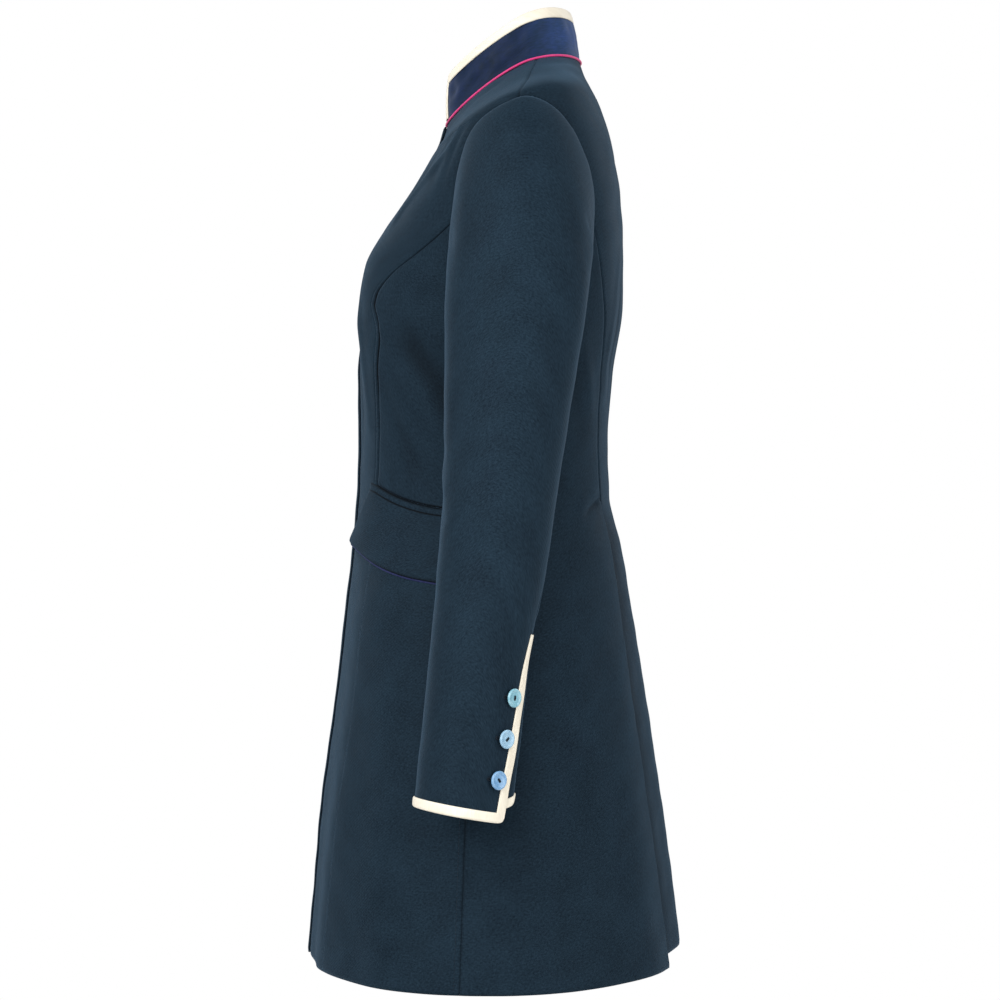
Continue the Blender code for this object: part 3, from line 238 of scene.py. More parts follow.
# Creases of the body: height out of the cloth (minus is a trough), half-width, and the line of each on the
# left side as angle and level. The right side wears the same ones, a little shifted and of other strength.
Crease = namedtuple("Crease", "height width line")
BODY_CREASES = (
    Crease(0.0022, 0.0042, ((56, -0.058), (47, -0.0795), (38, -0.0975), (33, -0.125), (31, -0.150))),
    Crease(-0.0015, 0.0075, ((46, -0.046), (38, -0.068), (30, -0.088), (25, -0.118), (24, -0.140))),
    Crease(-0.0012, 0.0055, ((12, -0.012), (35, -0.011), (60, -0.010), (82, -0.010))),
    Crease(0.0019, 0.0056, ((68, -0.046), (60, -0.070), (58.8, -0.1035), (61, -0.150))),
    Crease(-0.0004, 0.0034, ((61, -0.044), (56.5, -0.070), (56, -0.100), (58, -0.140))),
    Crease(0.0012, 0.0046, ((56, -0.036), (53, -0.066), (52.4, -0.0975), (55, -0.135))),
    Crease(-0.0004, 0.0050, ((50, -0.040), (47, -0.070), (47, -0.095), (49, -0.125))),
    Crease(0.0017, 0.0075, ((23, -0.196), (25, -0.240), (28, -0.2775), (27.5, -0.3225), (29.5, -0.370))),
    Crease(-0.0012, 0.0080, ((14, -0.210), (17, -0.270), (18, -0.330), (20, -0.385))),
    Crease(0.0011, 0.0045, ((39.5, -0.254), (43, -0.268), (48, -0.284))),
    Crease(0.0013, 0.0070, ((42, -0.255), (51.5, -0.2985), (62, -0.3465), (70, -0.385))),
    Crease(-0.0026, 0.0120, ((46, -0.245), (57, -0.285), (68, -0.325), (77, -0.365))),
    Crease(-0.0009, 0.0060, ((39, -0.300), (46, -0.335), (55, -0.375), (63, -0.405))),
    Crease(0.0010, 0.0060, ((153.5, -0.170), (149.5, -0.2235), (149, -0.270), (154, -0.345))),
    Crease(-0.0012, 0.0065, ((161, -0.165), (158, -0.225), (158, -0.285), (161, -0.350))),
    Crease(0.0010, 0.0070, ((170, -0.180), (168, -0.240), (169, -0.300), (171, -0.365))),
    Crease(-0.0022, 0.0030, ((153, -0.4135), (147, -0.4165), (141, -0.421), (134, -0.431))),
    Crease(0.0012, 0.0045, ((150, -0.407), (143, -0.410), (136, -0.416), (129, -0.426))),
    Crease(-0.0010, 0.0060, ((128, -0.395), (118, -0.400), (108, -0.410))),
    Crease(0.0009, 0.0080, ((118, -0.235), (128, -0.270), (137, -0.310), (143, -0.360))),
    Crease(-0.0012, 0.0090, ((108, -0.232), (118, -0.275), (128, -0.320), (136, -0.370))),
    Crease(0.0008, 0.0110, ((172, -0.030), (160, -0.060), (146, -0.100), (136, -0.150))),
    Crease(-0.0007, 0.0100, ((178, -0.060), (166, -0.095), (152, -0.130), (142, -0.175))),
    Crease(-0.0010, 0.0070, ((176, -0.012), (150, -0.010), (122, -0.009), (100, -0.012))),
)
CREASE_STEPS = 60
CREASE_SOFTENING = 15
CREASE_TAPER = 0.35
CREASE_UNEVEN = 0.22
CREASE_UNEVEN_PITCH = 9.0
CREASE_UNEVEN_START = 1.7
RIGHT_CREASE_SHIFT = 0.010
RIGHT_CREASE_SHIFT_SHARES = (0.4, 0.6)
RIGHT_CREASE_STRENGTH = (0.6, 1.15)
RIGHT_CREASE_WIDTH = (0.9, 1.25)

# Soft flutes of the skirt: angle at the hem, half-width in degrees and height at the hem, for each side
Flute = namedtuple("Flute", "angle spread height")
LEFT_FLUTES = (
    Flute(8, 8, 0.0012),
    Flute(24, 8, -0.0016),
    Flute(38, 7, 0.0018),
    Flute(53, 8, -0.0015),
    Flute(68, 8, 0.0015),
    Flute(84, 9, -0.0012),
    Flute(101, 9, 0.0016),
    Flute(119, 9, -0.0018),
    Flute(137, 8, 0.0018),
    Flute(166, 7, -0.0016),
)
RIGHT_FLUTES = (
    Flute(12, 8, -0.0013),
    Flute(29, 8, 0.0016),
    Flute(45, 8, -0.0015),
    Flute(61, 8, 0.0014),
    Flute(79, 9, -0.0015),
    Flute(97, 9, 0.0013),
    Flute(113, 8, -0.0016),
    Flute(130, 8, 0.0017),
    Flute(146, 7, -0.0010),
    Flute(171, 7, 0.0014),
)
FLUTE_TOP = 0.43
FLUTE_FULL = 0.80
FLUTE_DRIFT = 3.0
FLUTE_DRIFT_PITCH = 9.0
SKIRT_CENTRE_Y = -0.020

# The small unevenness of pressed cloth: waves of these lengths in all directions
RIPPLE_LENGTHS = (0.022, 0.031, 0.038, 0.047, 0.058, 0.071, 0.088, 0.110)
RIPPLE_HEIGHT = 0.00011
waves = np.random.default_rng(7)
RIPPLE_WAYS = unit(waves.normal(size=(len(RIPPLE_LENGTHS), 3)))
RIPPLE_STARTS = waves.uniform(0, 2 * math.pi, len(RIPPLE_LENGTHS))


def ripples(points):
    """Height of the cloth's small unevenness."""
    total = np.zeros(points.shape[:-1])
    for length, way, start in zip(RIPPLE_LENGTHS, RIPPLE_WAYS, RIPPLE_STARTS):
        total += np.sin(points @ way * (2 * math.pi / length) + start)
    return total * RIPPLE_HEIGHT


def crease_lines(creases, surface, seed):
    """Each crease's line in space on both sides. The right side's are shifted and of other strength."""
    other_side = np.random.default_rng(seed)
    kernel = np.hanning(CREASE_SOFTENING) / np.hanning(CREASE_SOFTENING).sum()
    t = np.linspace(0.0, 1.0, CREASE_STEPS)
    lines = []
    for crease in creases:
        knots = np.array(crease.line, dtype=float)
        even = np.linspace(0.0, 1.0, len(knots))
        softened = []
        for values in knots.T:
            padded = np.pad(np.interp(t, even, values), CREASE_SOFTENING // 2, mode="edge")
            softened.append(np.convolve(padded, kernel, "valid"))
        left = surface(*softened)
        lines.append((left, crease.height, crease.width))
        shift = other_side.uniform(-RIGHT_CREASE_SHIFT, RIGHT_CREASE_SHIFT, 2) * RIGHT_CREASE_SHIFT_SHARES
        right = mirrored(left, -1) + np.array([0.0, *shift])
        strength = other_side.uniform(*RIGHT_CREASE_STRENGTH)
        width = crease.width * other_side.uniform(*RIGHT_CREASE_WIDTH)
        lines.append((right, crease.height * strength, width))
    return lines


def crease_height(points, lines):
    """Height that the creases give to the cloth at the points."""
    flat = points.reshape(-1, 3)
    total = np.zeros(len(flat))
    for number, (line, height, width) in enumerate(lines):
        reach = 3 * width
        low = line.min(axis=0) - reach
        high = line.max(axis=0) + reach
        near = np.nonzero(((flat > low) & (flat < high)).all(axis=1))[0]
        if not len(near):
            continue
        away = flat[near][:, None, :] - line[None]
        squares = np.sum(away**2, axis=-1)
        closest = np.argmin(squares, axis=1)
        tangent = unit(np.gradient(line, axis=0))[closest]
        offset = away[np.arange(len(near)), closest]
        along = np.sum(offset * tangent, axis=-1)
        step = np.linalg.norm(line[-1] - line[0]) / len(line)
        aside = np.maximum(np.sum(offset**2, axis=-1) - along**2, 0.0)
        past_end = ((closest == 0) & (along < 0)) | ((closest == len(line) - 1) & (along > 0))
        aside = np.where(past_end, aside + along**2, aside)
        share = np.clip((closest + along / max(step, 1e-6)) / (len(line) - 1), 0.0, 1.0)
        taper = smooth_step(share, 0.0, CREASE_TAPER) * smooth_step(1 - share, 0.0, CREASE_TAPER)
        uneven = 1 + CREASE_UNEVEN * np.sin(CREASE_UNEVEN_PITCH * share + CREASE_UNEVEN_START * number)
        total[near] += height * uneven * taper * np.exp(-aside / width**2)
    return total.reshape(points.shape[:-1])


def flute_height(points):
    """Height of the skirt's soft flutes."""
    angle = np.degrees(np.arctan2(points[..., 0], -(points[..., 1] - SKIRT_CENTRE_Y)))
    fall = smooth_step(-points[..., 2], FLUTE_TOP, FLUTE_FULL)
    total = np.zeros(points.shape[:-1])
    for side, flutes in ((1, LEFT_FLUTES), (-1, RIGHT_FLUTES)):
        for flute in flutes:
            drift = FLUTE_DRIFT * np.sin(points[..., 2] * FLUTE_DRIFT_PITCH + flute.angle)
            turned = (angle * side - flute.angle - drift + 180.0) % 360.0 - 180.0
            total += flute.height * np.exp(-((turned / flute.spread) ** 2))
    return total * fall


body_crease_lines = crease_lines(BODY_CREASES, body, 11)


def body_relief(points):
    """How far the worn cloth stands out of its smooth form."""
    return crease_height(points, body_crease_lines) + flute_height(points) + ripples(points)


def panel_samples(first, last, levels, count=PANEL_SAMPLES):
    """Closely spaced points along each row of a panel, from its first to its last edge, as turn and level."""
    turns = first[:, None] + (last - first)[:, None] * np.linspace(0.0, 1.0, count)
    return np.stack([turns, np.repeat(levels[:, None], count, 1)], axis=-1)


def space_columns(dense, surface, near_left=SEAM_COLUMNS, near_right=SEAM_COLUMNS):
    """The samples' rows with even columns over the surface, and closer ones by the two edges."""
    rows = dense.shape[0]
    points = surface(dense[..., 0], dense[..., 1])
    run = edge_distances(points)[0]
    width = run[:, -1]
    near_left = np.array(near_left)
    near_right = np.array(near_right)
    count = int(np.ceil(np.median(width) / GRID_STEP)) + 1
    spaced = np.empty((rows, len(near_left) + count + len(near_right) - 2, 2))
    for row in range(rows):
        squeeze = min(1.0, SEAM_COLUMNS_MOST * width[row] / max(near_left[-1] + near_right[-1], 1e-6))
        left = near_left * squeeze
        right = width[row] - near_right[::-1] * squeeze
        middle = np.linspace(left[-1], right[0], count)[1:-1]
        at = np.concatenate([left, middle, right])
        spaced[row, :, 0] = np.interp(at, run[row], dense[row, :, 0])
        spaced[row, :, 1] = np.interp(at, run[row], dense[row, :, 1])
    return spaced


def edge_distances(points):
    """Distance of each point from the left, right, top and bottom edge of its sheet, along the sheet."""
    across = np.nan_to_num(np.linalg.norm(np.diff(points, axis=1), axis=-1))
    down = np.nan_to_num(np.linalg.norm(np.diff(points, axis=0), axis=-1))
    from_left = np.concatenate([np.zeros((len(points), 1)), np.cumsum(across, axis=1)], axis=1)
    from_top = np.concatenate([np.zeros((1, points.shape[1])), np.cumsum(down, axis=0)], axis=0)
    return from_left, from_left[:, -1:] - from_left, from_top, from_top[-1:] - from_top


def seam_roll(distance, press):
    """How far the cloth turns in towards a pressed seam."""
    return press.depth * np.exp(-((distance / press.width) ** 2))


def seam_shade(*seams):
    """Painted shade of the cloth down in its pressed seams, from pairs of distance and press."""
    shades = [press.dark * np.exp(-((distance / SEAM_SHADE_WIDTH) ** 2)) for distance, press in seams]
    return np.minimum(np.max(shades, axis=0), SEAM_SHADE_MOST)


def body_shade(points, *seams):
    """Shade in the seams and in the hollows of the creases, which the folded cloth keeps the light from."""
    hollow = np.clip(-crease_height(points, body_crease_lines) / HOLLOW_FULL, 0.0, 1.0)
    return np.maximum(seam_shade(*seams), HOLLOW_SHADE * hollow)


def cloth_sheet(name, points, material, thickness=CLOTH, outward=1, shade=None):
    """A shell of cloth laid through rows of points, thickened to its outer side and darker by its shade."""
    rows, cols = points.shape[:2]
    there = ~np.isnan(points[..., 0])
    number = np.full((rows, cols), -1)
    number[there] = np.arange(there.sum())
    corners = np.stack([number[:-1, :-1], number[:-1, 1:], number[1:, 1:], number[1:, :-1]], axis=-1)
    corners = corners.reshape(-1, 4)
    corners = corners[(corners >= 0).all(axis=1)]
    if outward > 0:
        corners = corners[:, ::-1]
    mesh = bpy.data.meshes.new(name)
    mesh.vertices.add(int(there.sum()))
    mesh.vertices.foreach_set("co", points[there].ravel())
    mesh.loops.add(corners.size)
    mesh.loops.foreach_set("vertex_index", corners.ravel().astype(np.int32))
    mesh.polygons.add(len(corners))
    mesh.polygons.foreach_set("loop_start", np.arange(0, corners.size, 4, dtype=np.int32))
    mesh.update(calc_edges=True)
    mesh.validate()
    from_left, _, from_top, _ = edge_distances(points)
    flat = np.stack([from_left, from_top], axis=-1)[there]
    layer = mesh.uv_layers.new(name="grain")
    layer.data.foreach_set("uv", flat[corners.ravel()].ravel())
    if shade is not None:
        mesh.attributes.new("seam_shade", "FLOAT", "POINT").data.foreach_set("value", shade[there].ravel())
    mesh.materials.append(material)
    mesh.shade_smooth()
    piece = bpy.data.objects.new(name, mesh)
    bpy.context.scene.collection.objects.link(piece)
    shell = piece.modifiers.new("thickness", "SOLIDIFY")
    shell.thickness = thickness
    shell.offset = 1.0
    return piece


class Nodes:
    """Short way to lay out a material's nodes."""

    def __init__(self, name):
        self.material = bpy.data.materials.new(name)
        self.material.use_nodes = True
        self.tree = self.material.node_tree
        self.shader = self.tree.nodes["Principled BSDF"]

    def add(self, kind, **settings):
        node = self.tree.nodes.new(kind)
        for key, value in settings.items():
            setattr(node, key, value)
        return node

    def link(self, source, target):
        self.tree.links.new(source, target)

    def finish(self, **values):
        for name, value in values.items():
            self.shader.inputs[name.replace("_", " ")].default_value = value
        return self.material

    def grain(self):
        return self.add("ShaderNodeUVMap", uv_map="grain").outputs[0]

    def place(self):
        return self.add("ShaderNodeTexCoord").outputs["Object"]

    def stretched(self, source, scale, turn=0.0):
        node = self.add("ShaderNodeMapping")
        self.link(source, node.inputs["Vector"])
        node.inputs["Scale"].default_value = scale
        node.inputs["Rotation"].default_value = (0.0, 0.0, turn)
        return node.outputs[0]

    def noise(self, source, scale, detail=2.0, roughness=0.5):
        node = self.add("ShaderNodeTexNoise")
        self.link(source, node.inputs["Vector"])
        node.inputs["Scale"].default_value = scale
        node.inputs["Detail"].default_value = detail
        node.inputs["Roughness"].default_value = roughness
        return node.outputs["Fac"]

    def math(self, operation, first, second):
        node = self.add("ShaderNodeMath", operation=operation)
        for socket, value in zip(node.inputs, (first, second)):
            if isinstance(value, (int, float)):
                socket.default_value = value
            else:
                self.link(value, socket)
        return node.outputs[0]

    def blend(self, *weighted):
        """Sum of the sources, each times its weight."""
        total = None
        for source, weight in weighted:
            part = source if weight == 1 else self.math("MULTIPLY", source, weight)
            total = part if total is None else self.math("ADD", total, part)
        return total

    def ramp(self, source, stops):
        node = self.add("ShaderNodeValToRGB")
        self.link(source, node.inputs["Fac"])
        elements = node.color_ramp.elements
        while len(elements) < len(stops):
            elements.new(0.5)
        for element, (place, colour) in zip(elements, stops):
            element.position = place
            element.color = (*colour, 1.0)
        return node.outputs["Color"]

    def colour(self, source):
        self.link(source, self.shader.inputs["Base Color"])

    def roughness(self, source, smooth, rough):
        """Roughness between two values, where the source runs from 0.3 to 0.7."""
        node = self.add("ShaderNodeMapRange")
        self.link(source, node.inputs["Value"])
        for socket, value in (("From Min", 0.3), ("From Max", 0.7), ("To Min", smooth), ("To Max", rough)):
            node.inputs[socket].default_value = value
        self.link(node.outputs["Result"], self.shader.inputs["Roughness"])

    def bump(self, height, distance, strength):
        node = self.add("ShaderNodeBump")
        node.inputs["Strength"].default_value = strength
        node.inputs["Distance"].default_value = distance
        self.link(height, node.inputs["Height"])
        self.link(node.outputs["Normal"], self.shader.inputs["Normal"])

    def shaded(self, colour):
        """The colour, darkened by the painted shade that the seam_shade attribute carries."""
        shade = self.add("ShaderNodeAttribute", attribute_name="seam_shade")
        node = self.add("ShaderNodeMix", data_type="RGBA")
        factor, first, second = node.inputs[0], node.inputs[6], node.inputs[7]
        self.link(shade.outputs["Fac"], factor)
        self.link(colour, first)
        second.default_value = SEAM_SHADE_COLOUR
        return node.outputs[2]


COAT_CLOTH_DARK = (0.0024, 0.0076, 0.0138)
COAT_CLOTH_LIGHT = (0.0114, 0.0246, 0.0388)
COAT_CLOTH_BLOOM = (0.32, 0.60, 0.92)


def make_coat_cloth():
    """Navy worsted with a green cast: a fine twill, uneven yarns and a soft bloom seen edge on."""
    cloth = Nodes("navy_worsted")
    grain = cloth.grain()
    warp = cloth.noise(cloth.stretched(grain, (1500.0, 260.0, 1.0)), 1.0, 2.0)
    weft = cloth.noise(cloth.stretched(grain, (240.0, 1300.0, 1.0)), 1.0, 2.0)
    yarns = cloth.blend((warp, 0.5), (weft, 0.5))
    slubs = cloth.noise(cloth.stretched(grain, (420.0, 620.0, 1.0)), 1.0, 3.0, 0.65)
    mottle = cloth.noise(grain, 30.0, 3.0)
    tone = cloth.blend((yarns, 0.35), (slubs, 0.45), (mottle, 0.2))
    cloth.colour(cloth.shaded(cloth.ramp(tone, ((0.38, COAT_CLOTH_DARK), (0.62, COAT_CLOTH_LIGHT)))))
    twill = cloth.add("ShaderNodeTexWave", wave_type="BANDS", bands_direction="DIAGONAL")
    cloth.link(grain, twill.inputs["Vector"])
    twill.inputs["Scale"].default_value = 190.0
    twill.inputs["Distortion"].default_value = 0.6
    twill.inputs["Detail"].default_value = 1.0
    cloth.bump(cloth.blend((twill.outputs["Fac"], 0.5), (yarns, 1)), 0.00022, 0.55)
    cloth.roughness(mottle, 0.66, 0.78)
    return cloth.finish(
        Specular_IOR_Level=0.06, Sheen_Weight=0.16, Sheen_Roughness=0.36, Sheen_Tint=(*COAT_CLOTH_BLOOM, 1.0)
    )


coat_cloth = make_coat_cloth()


def pleat_opening(level):
    """How far down a pleat a level is: 0 at its top, 1 at the hem."""
    return np.clip((PLEAT_TOP - level) / (PLEAT_TOP - HEM), 0.0, 1.0)


def pleat_start(level):
    """0 where a pleat is still sewn shut, 1 where it is open."""
    return smooth_step(-level, -PLEAT_TOP, -PLEAT_OPEN)


def pleat_depth(level):
    """How far the centre back lies under the fold of a pleat."""
    depth = PLEAT_DEPTH_TOP + (PLEAT_DEPTH_HEM - PLEAT_DEPTH_TOP) * pleat_opening(level)
    return pleat_start(level) * depth


def pleat_width(full_width, level):
    """How far a pleat's fold turns under: a share of the full width at its top, all of it at the hem."""
    return full_width * (PLEAT_TOP_SHARE + (1 - PLEAT_TOP_SHARE) * pleat_opening(level))


def around(distance, angle, level):
    """Change of angle that moves a point by the given distance round the body."""
    span = np.linalg.norm(body(angle + 0.5, level) - body(angle - 0.5, level), axis=-1)
    return distance / span


def body_rows(seam_end, princess, turn):
    """Levels and outer seam angles of a panel's rows from the neck to the end of its princess seam."""
    near_neck = -np.array(NECK_ROWS)
    shoulder_rows = int(round((near_neck[-1] - SHOULDER_END) / GRID_STEP)) + 1
    shoulder = np.concatenate([near_neck, np.linspace(near_neck[-1], SHOULDER_END, shoulder_rows)[1:]])
    hole_angles, hole_levels = armhole(np.linspace(0.0, turn, ARMHOLE_ROWS)[1:])
    lower = np.linspace(hole_levels[-1], seam_end, int((hole_levels[-1] - seam_end) / GRID_STEP))[1:]
    levels = np.concatenate([shoulder, hole_levels, lower])
    outer = np.concatenate(
        [read_table(SHOULDER_SEAM, "angle", shoulder), hole_angles, read_table(princess, "angle", lower)]
    )
    return levels, outer


def make_back():
    """The centre back, with the two strips of it that lie under the pleats' folds."""
    levels, outer = body_rows(PLEAT_TOP, BACK_PRINCESS, BACK_PRINCESS_TURN)
    skirt = np.linspace(PLEAT_TOP, BACK_HEM, int((PLEAT_TOP - BACK_HEM) / GRID_STEP))[1:]
    levels = np.concatenate([levels, skirt])
    outer = np.concatenate([outer, read_table(PLEAT_FOLD, "angle", skirt)])
    spaced = space_columns(panel_samples(outer, 360.0 - outer, levels), body)
    rows, cols = spaced.shape[:2]
    side_share = np.abs(spaced[..., 0] - 180.0) / (180.0 - outer)[:, None]
    depth = pleat_depth(levels)[:, None] * smooth_step(side_share, 0.0, 1.0)
    grid = np.full((rows, cols + 2 * PLEAT_UNDER_COLUMNS, 2), np.nan)
    depths = np.zeros(grid.shape[:2])
    middle = slice(PLEAT_UNDER_COLUMNS, PLEAT_UNDER_COLUMNS + cols)
    grid[:, middle] = spaced
    depths[:, middle] = depth
    for row in np.nonzero(levels < PLEAT_START)[0]:
        width = pleat_width(PLEAT_RETURN - PLEAT_BACK_SHORT, levels[row])
        under = np.linspace(0.0, width, PLEAT_UNDER_COLUMNS + 1)[1:]
        first_columns = np.arange(PLEAT_UNDER_COLUMNS)
        for sign, target in ((-1.0, first_columns[::-1]), (1.0, middle.stop + first_columns)):
            edge = 180.0 + (180.0 - outer[row]) * sign
            grid[row, target, 0] = edge + sign * around(under, edge, levels[row])
            grid[row, target, 1] = levels[row]
            depths[row, target] = pleat_depth(levels[row])
    base, normal = laid_on_body(grid)
    from_left, from_right, from_top, from_bottom = edge_distances(base[:, middle])
    above = (levels > PLEAT_TOP)[:, None]
    roll = np.zeros(grid.shape[:2])
    side_edge = np.minimum(from_left, from_right)
    roll[:, middle] = np.where(above, seam_roll(side_edge, BACK_PRINCESS_PRESS), 0.0)
    roll[:, middle] += seam_roll(from_top, NECK_PRESS) + seam_roll(from_bottom, HEM_PRESS)
    points = base + normal * (body_relief(np.nan_to_num(base)) - depths - roll)[..., None]
    # Painted shade: in the seams and crease hollows, and a broad shadow where the back lies under the pleats'
    # folds
    shade = np.zeros(grid.shape[:2])
    pleat_shadow = PLEAT_SHADE * np.exp(-((side_edge / PLEAT_SHADE_WIDTH) ** 2)) * pleat_start(levels)[:, None]
    in_seams = body_shade(base[:, middle], (side_edge, BACK_PRINCESS_PRESS), (from_top, NECK_PRESS))
    shade[:, middle] = np.maximum(in_seams, pleat_shadow)
    return cloth_sheet("back_cloth", points, coat_cloth, outward=1, shade=shade)


back = make_back()
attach(back, "root")
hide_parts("back")


# ------------------------------------------------------------------------------
# Side backs. The panel from the side seam to the back princess seam on each side, in the same cloth. Below
# the waist the princess seam is left open, and the edge is folded under as a knife pleat over the back.

POCKET_FRONT = -0.400
POCKET_SLANT = 0.024
POCKET_BOW = -0.0065
PLEAT_BEND = 0.0022
PLEAT_TURN_COLUMNS = 5
PLEAT_RETURN_COLUMNS = 7
SIDE_PANEL_SAMPLES = 161
SIDE_BACK_SIDE_PRESS = Press(0.0011, 0.0012, 0.75)
SIDE_BACK_ARMHOLE_PRESS = Press(0.0009, 0.0012, 0.6)
OUT_OF_REACH = 1.0
SIDE_SEAM = (SeamPoint(-0.200, 92.0), SeamPoint(-0.410, 86.0), SeamPoint(-0.600, 83.0), SeamPoint(HEM, 81.0))
SIDES = (("left", 1), ("right", -1))


def side_panel(name, points, side, shade, thickness=CLOTH):
    """A panel of the coat's cloth on one side of the coat, from its points on the left side."""
    return cloth_sheet(name, mirrored(points, side), coat_cloth, thickness, side, shade)


def inside_edges(left, right, top, bottom, down):
    """Angles and levels inside four edges of (angle, level). Down is each row's share of the height."""
    w = down[:, None, None]
    u = np.linspace(0.0, 1.0, len(top))[None, :, None]
    upper_corners = (1 - u) * (1 - w) * top[0] + u * (1 - w) * top[-1]
    lower_corners = (1 - u) * w * bottom[0] + u * w * bottom[-1]
    between_rows = (1 - w) * top[None, :, :] + w * bottom[None, :, :]
    between_cols = (1 - u) * left[:, None, :] + u * right[:, None, :]
    return between_rows + between_cols - (upper_corners + lower_corners)


def make_side_back(side_name, side):
    """The side back of one side, with the fold of its pleat turned under it."""
    top = np.stack(armhole(np.linspace(180.0, BACK_PRINCESS_TURN, SIDE_PANEL_SAMPLES)), axis=-1)
    bodice_rows = int((top[-1, 1] - PLEAT_TOP) / GRID_STEP) + 1
    skirt_rows = int((PLEAT_TOP - HEM) / GRID_STEP) + 1

    def edge_levels(start, waist):
        bodice = np.linspace(start, waist, bodice_rows)
        return np.concatenate([bodice, np.linspace(waist, HEM, skirt_rows)[1:]])

    left_levels = edge_levels(top[0, 1], POCKET_FRONT - POCKET_SLANT)
    right_levels = edge_levels(top[-1, 1], PLEAT_TOP)
    right_angles = np.where(
        right_levels > PLEAT_TOP,
        read_table(BACK_PRINCESS, "angle", right_levels),
        read_table(PLEAT_FOLD, "angle", right_levels),
    )
    left = np.stack([read_table(SIDE_SEAM, "angle", left_levels), left_levels], axis=-1)
    right = np.stack([right_angles, right_levels], axis=-1)
    top[0, 0] = left[0, 0]
    right[0] = top[-1]
    bottom = left[-1] + (right[-1] - left[-1]) * np.linspace(0.0, 1.0, SIDE_PANEL_SAMPLES)[:, None]
    down = (right_levels - right_levels[0]) / (HEM - right_levels[0])
    spaced = space_columns(inside_edges(left, right, top, bottom, down), body)
    rows, cols = spaced.shape[:2]
    base, normal = laid_on_body(spaced)
    from_left, from_right, from_top, from_bottom = edge_distances(base)
    above = (right_levels > PLEAT_TOP)[:, None]
    from_princess = np.where(above, from_right, OUT_OF_REACH)
    roll = seam_roll(from_left, SIDE_BACK_SIDE_PRESS) + seam_roll(from_top, SIDE_BACK_ARMHOLE_PRESS)
    roll += seam_roll(from_bottom, HEM_PRESS) + seam_roll(from_princess, BACK_PRINCESS_PRESS)
    world = mirrored(base, side)
    panel = base + normal * (body_relief(world) - roll)[..., None]
    points = np.full((rows, cols + PLEAT_TURN_COLUMNS + PLEAT_RETURN_COLUMNS, 3), np.nan)
    points[:, :cols] = panel
    bend = PLEAT_BEND / 2
    for row in np.nonzero(right_levels < PLEAT_START)[0]:
        edge = panel[row, -1]
        out = normal[row, -1]
        back = unit(panel[row, -1] - panel[row, -3])
        half_turn = np.linspace(0.0, math.pi, PLEAT_TURN_COLUMNS + 1)[1:, None]
        points[row, cols : cols + PLEAT_TURN_COLUMNS] = (
            edge - out * bend + bend * (out * np.cos(half_turn) + back * np.sin(half_turn))
        )
        width = pleat_width(PLEAT_RETURN, right_levels[row])
        under = np.linspace(0.0, width, PLEAT_RETURN_COLUMNS + 1)[1:]
        angles = spaced[row, -1, 0] - around(under, spaced[row, -1, 0], right_levels[row])
        heights = np.full(len(angles), right_levels[row])
        below = body(angles, heights)
        lie = body_relief(mirrored(below, side)) - PLEAT_BEND
        points[row, cols + PLEAT_TURN_COLUMNS :] = below + body_normal(angles, heights) * lie[:, None]
    shade = np.zeros(points.shape[:2])
    shade[:, :cols] = body_shade(
        world,
        (from_left, SIDE_BACK_SIDE_PRESS),
        (from_top, SIDE_BACK_ARMHOLE_PRESS),
        (from_princess, BACK_PRINCESS_PRESS),
    )
    return side_panel(f"side_back_{side_name}_cloth", points, side, shade)


for side_name, side in SIDES:
    side_back = make_side_back(side_name, side)
    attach(side_back, "root")
    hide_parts(f"side_back_{side_name}")


# ------------------------------------------------------------------------------
# Fronts. Each runs from the neck and shoulder to the front princess seam and, below the pocket, on to the
# side seam. The right one laps over the left. Prick stitches lie along the princess and the side seams.

FRONT_PRINCESS = (
    SeamPoint(-0.159, 65.4),
    SeamPoint(-0.1725, 59.4),
    SeamPoint(-0.189, 50.0),
    SeamPoint(-0.1995, 44.2),
    SeamPoint(-0.2115, 40.3),
    SeamPoint(-0.228, 37.2),
    SeamPoint(-0.236, 36.9),
    SeamPoint(-0.251, 39.0),
    SeamPoint(-0.265, 40.8),
    SeamPoint(-0.288, 39.4),
    SeamPoint(-0.3165, 37.6),
    SeamPoint(-0.350, 36.4),
    SeamPoint(POCKET_FRONT, 36.0),
)
FRONT_PRINCESS_TURN = -98.0
UNDERLAP = 0.018
OVERLAP = 0.020
OVERLAP_TOP = -0.0060
OVERLAP_NECK = -0.0045
UNDERLAP_TOP = -0.026
LAP_GAP = 0.0010
LAP_RAMP = 0.014
LAP_CORNER_LIFT = 0.0004
LAP_CORNER_LEVEL = -0.012
LAP_CORNER_SPREAD = 0.022
LAP_NECK = 0.010
LAP_NECK_EDGE = (-0.012, -0.002)
FRONT_CORNER = 0.007
FRONT_PRINCESS_PRESS = Press(0.0016, 0.0013, 1.0)
# How much deeper the princess seam's painted shade is, and the levels where the stitching starts and where
# the deeper shade fades out above the waist
PRINCESS_DARKER = 3.0
PRINCESS_STITCHED = (0.150, 0.162)
PRINCESS_FAINTER = (0.300, 0.330)
FRONT_NECK_PRESS = Press(0.0009, 0.0014, 1.6)
LAP_EDGE_PRESS = Press(LAP_GAP - 0.0001, 0.0026, 0.3)
UNDERLAP_EDGE_PRESS = Press(0.0005, 0.0026, 0.0)
LINE_SAMPLES = 200
HEM_SAMPLES = 400
SKIRT_TURN_START = 0.55
STITCH_OFFSET = 0.0050
STITCHED_COLUMNS = (
    0.0, 0.0004, 0.0009, 0.0015, 0.0023, 0.0032, 0.0040, 0.0045, 0.0050, 0.0055, 0.0061, 0.0072,
)
STITCH_TOP = -0.160
STITCH_LENGTH = 0.0026
STITCH_PITCH = 0.0034
STITCH_RADIUS = 0.00016
STITCH_WIDTH = 0.00026
STITCH_CORNERS = 6
STITCH_SECTIONS = ((0.0, 0.25), (0.12, 0.85), (0.5, 1.0), (0.88, 0.85), (1.0, 0.25))
STITCH_SINK = 0.0004
STITCH_SINK_WIDTH = 0.0008


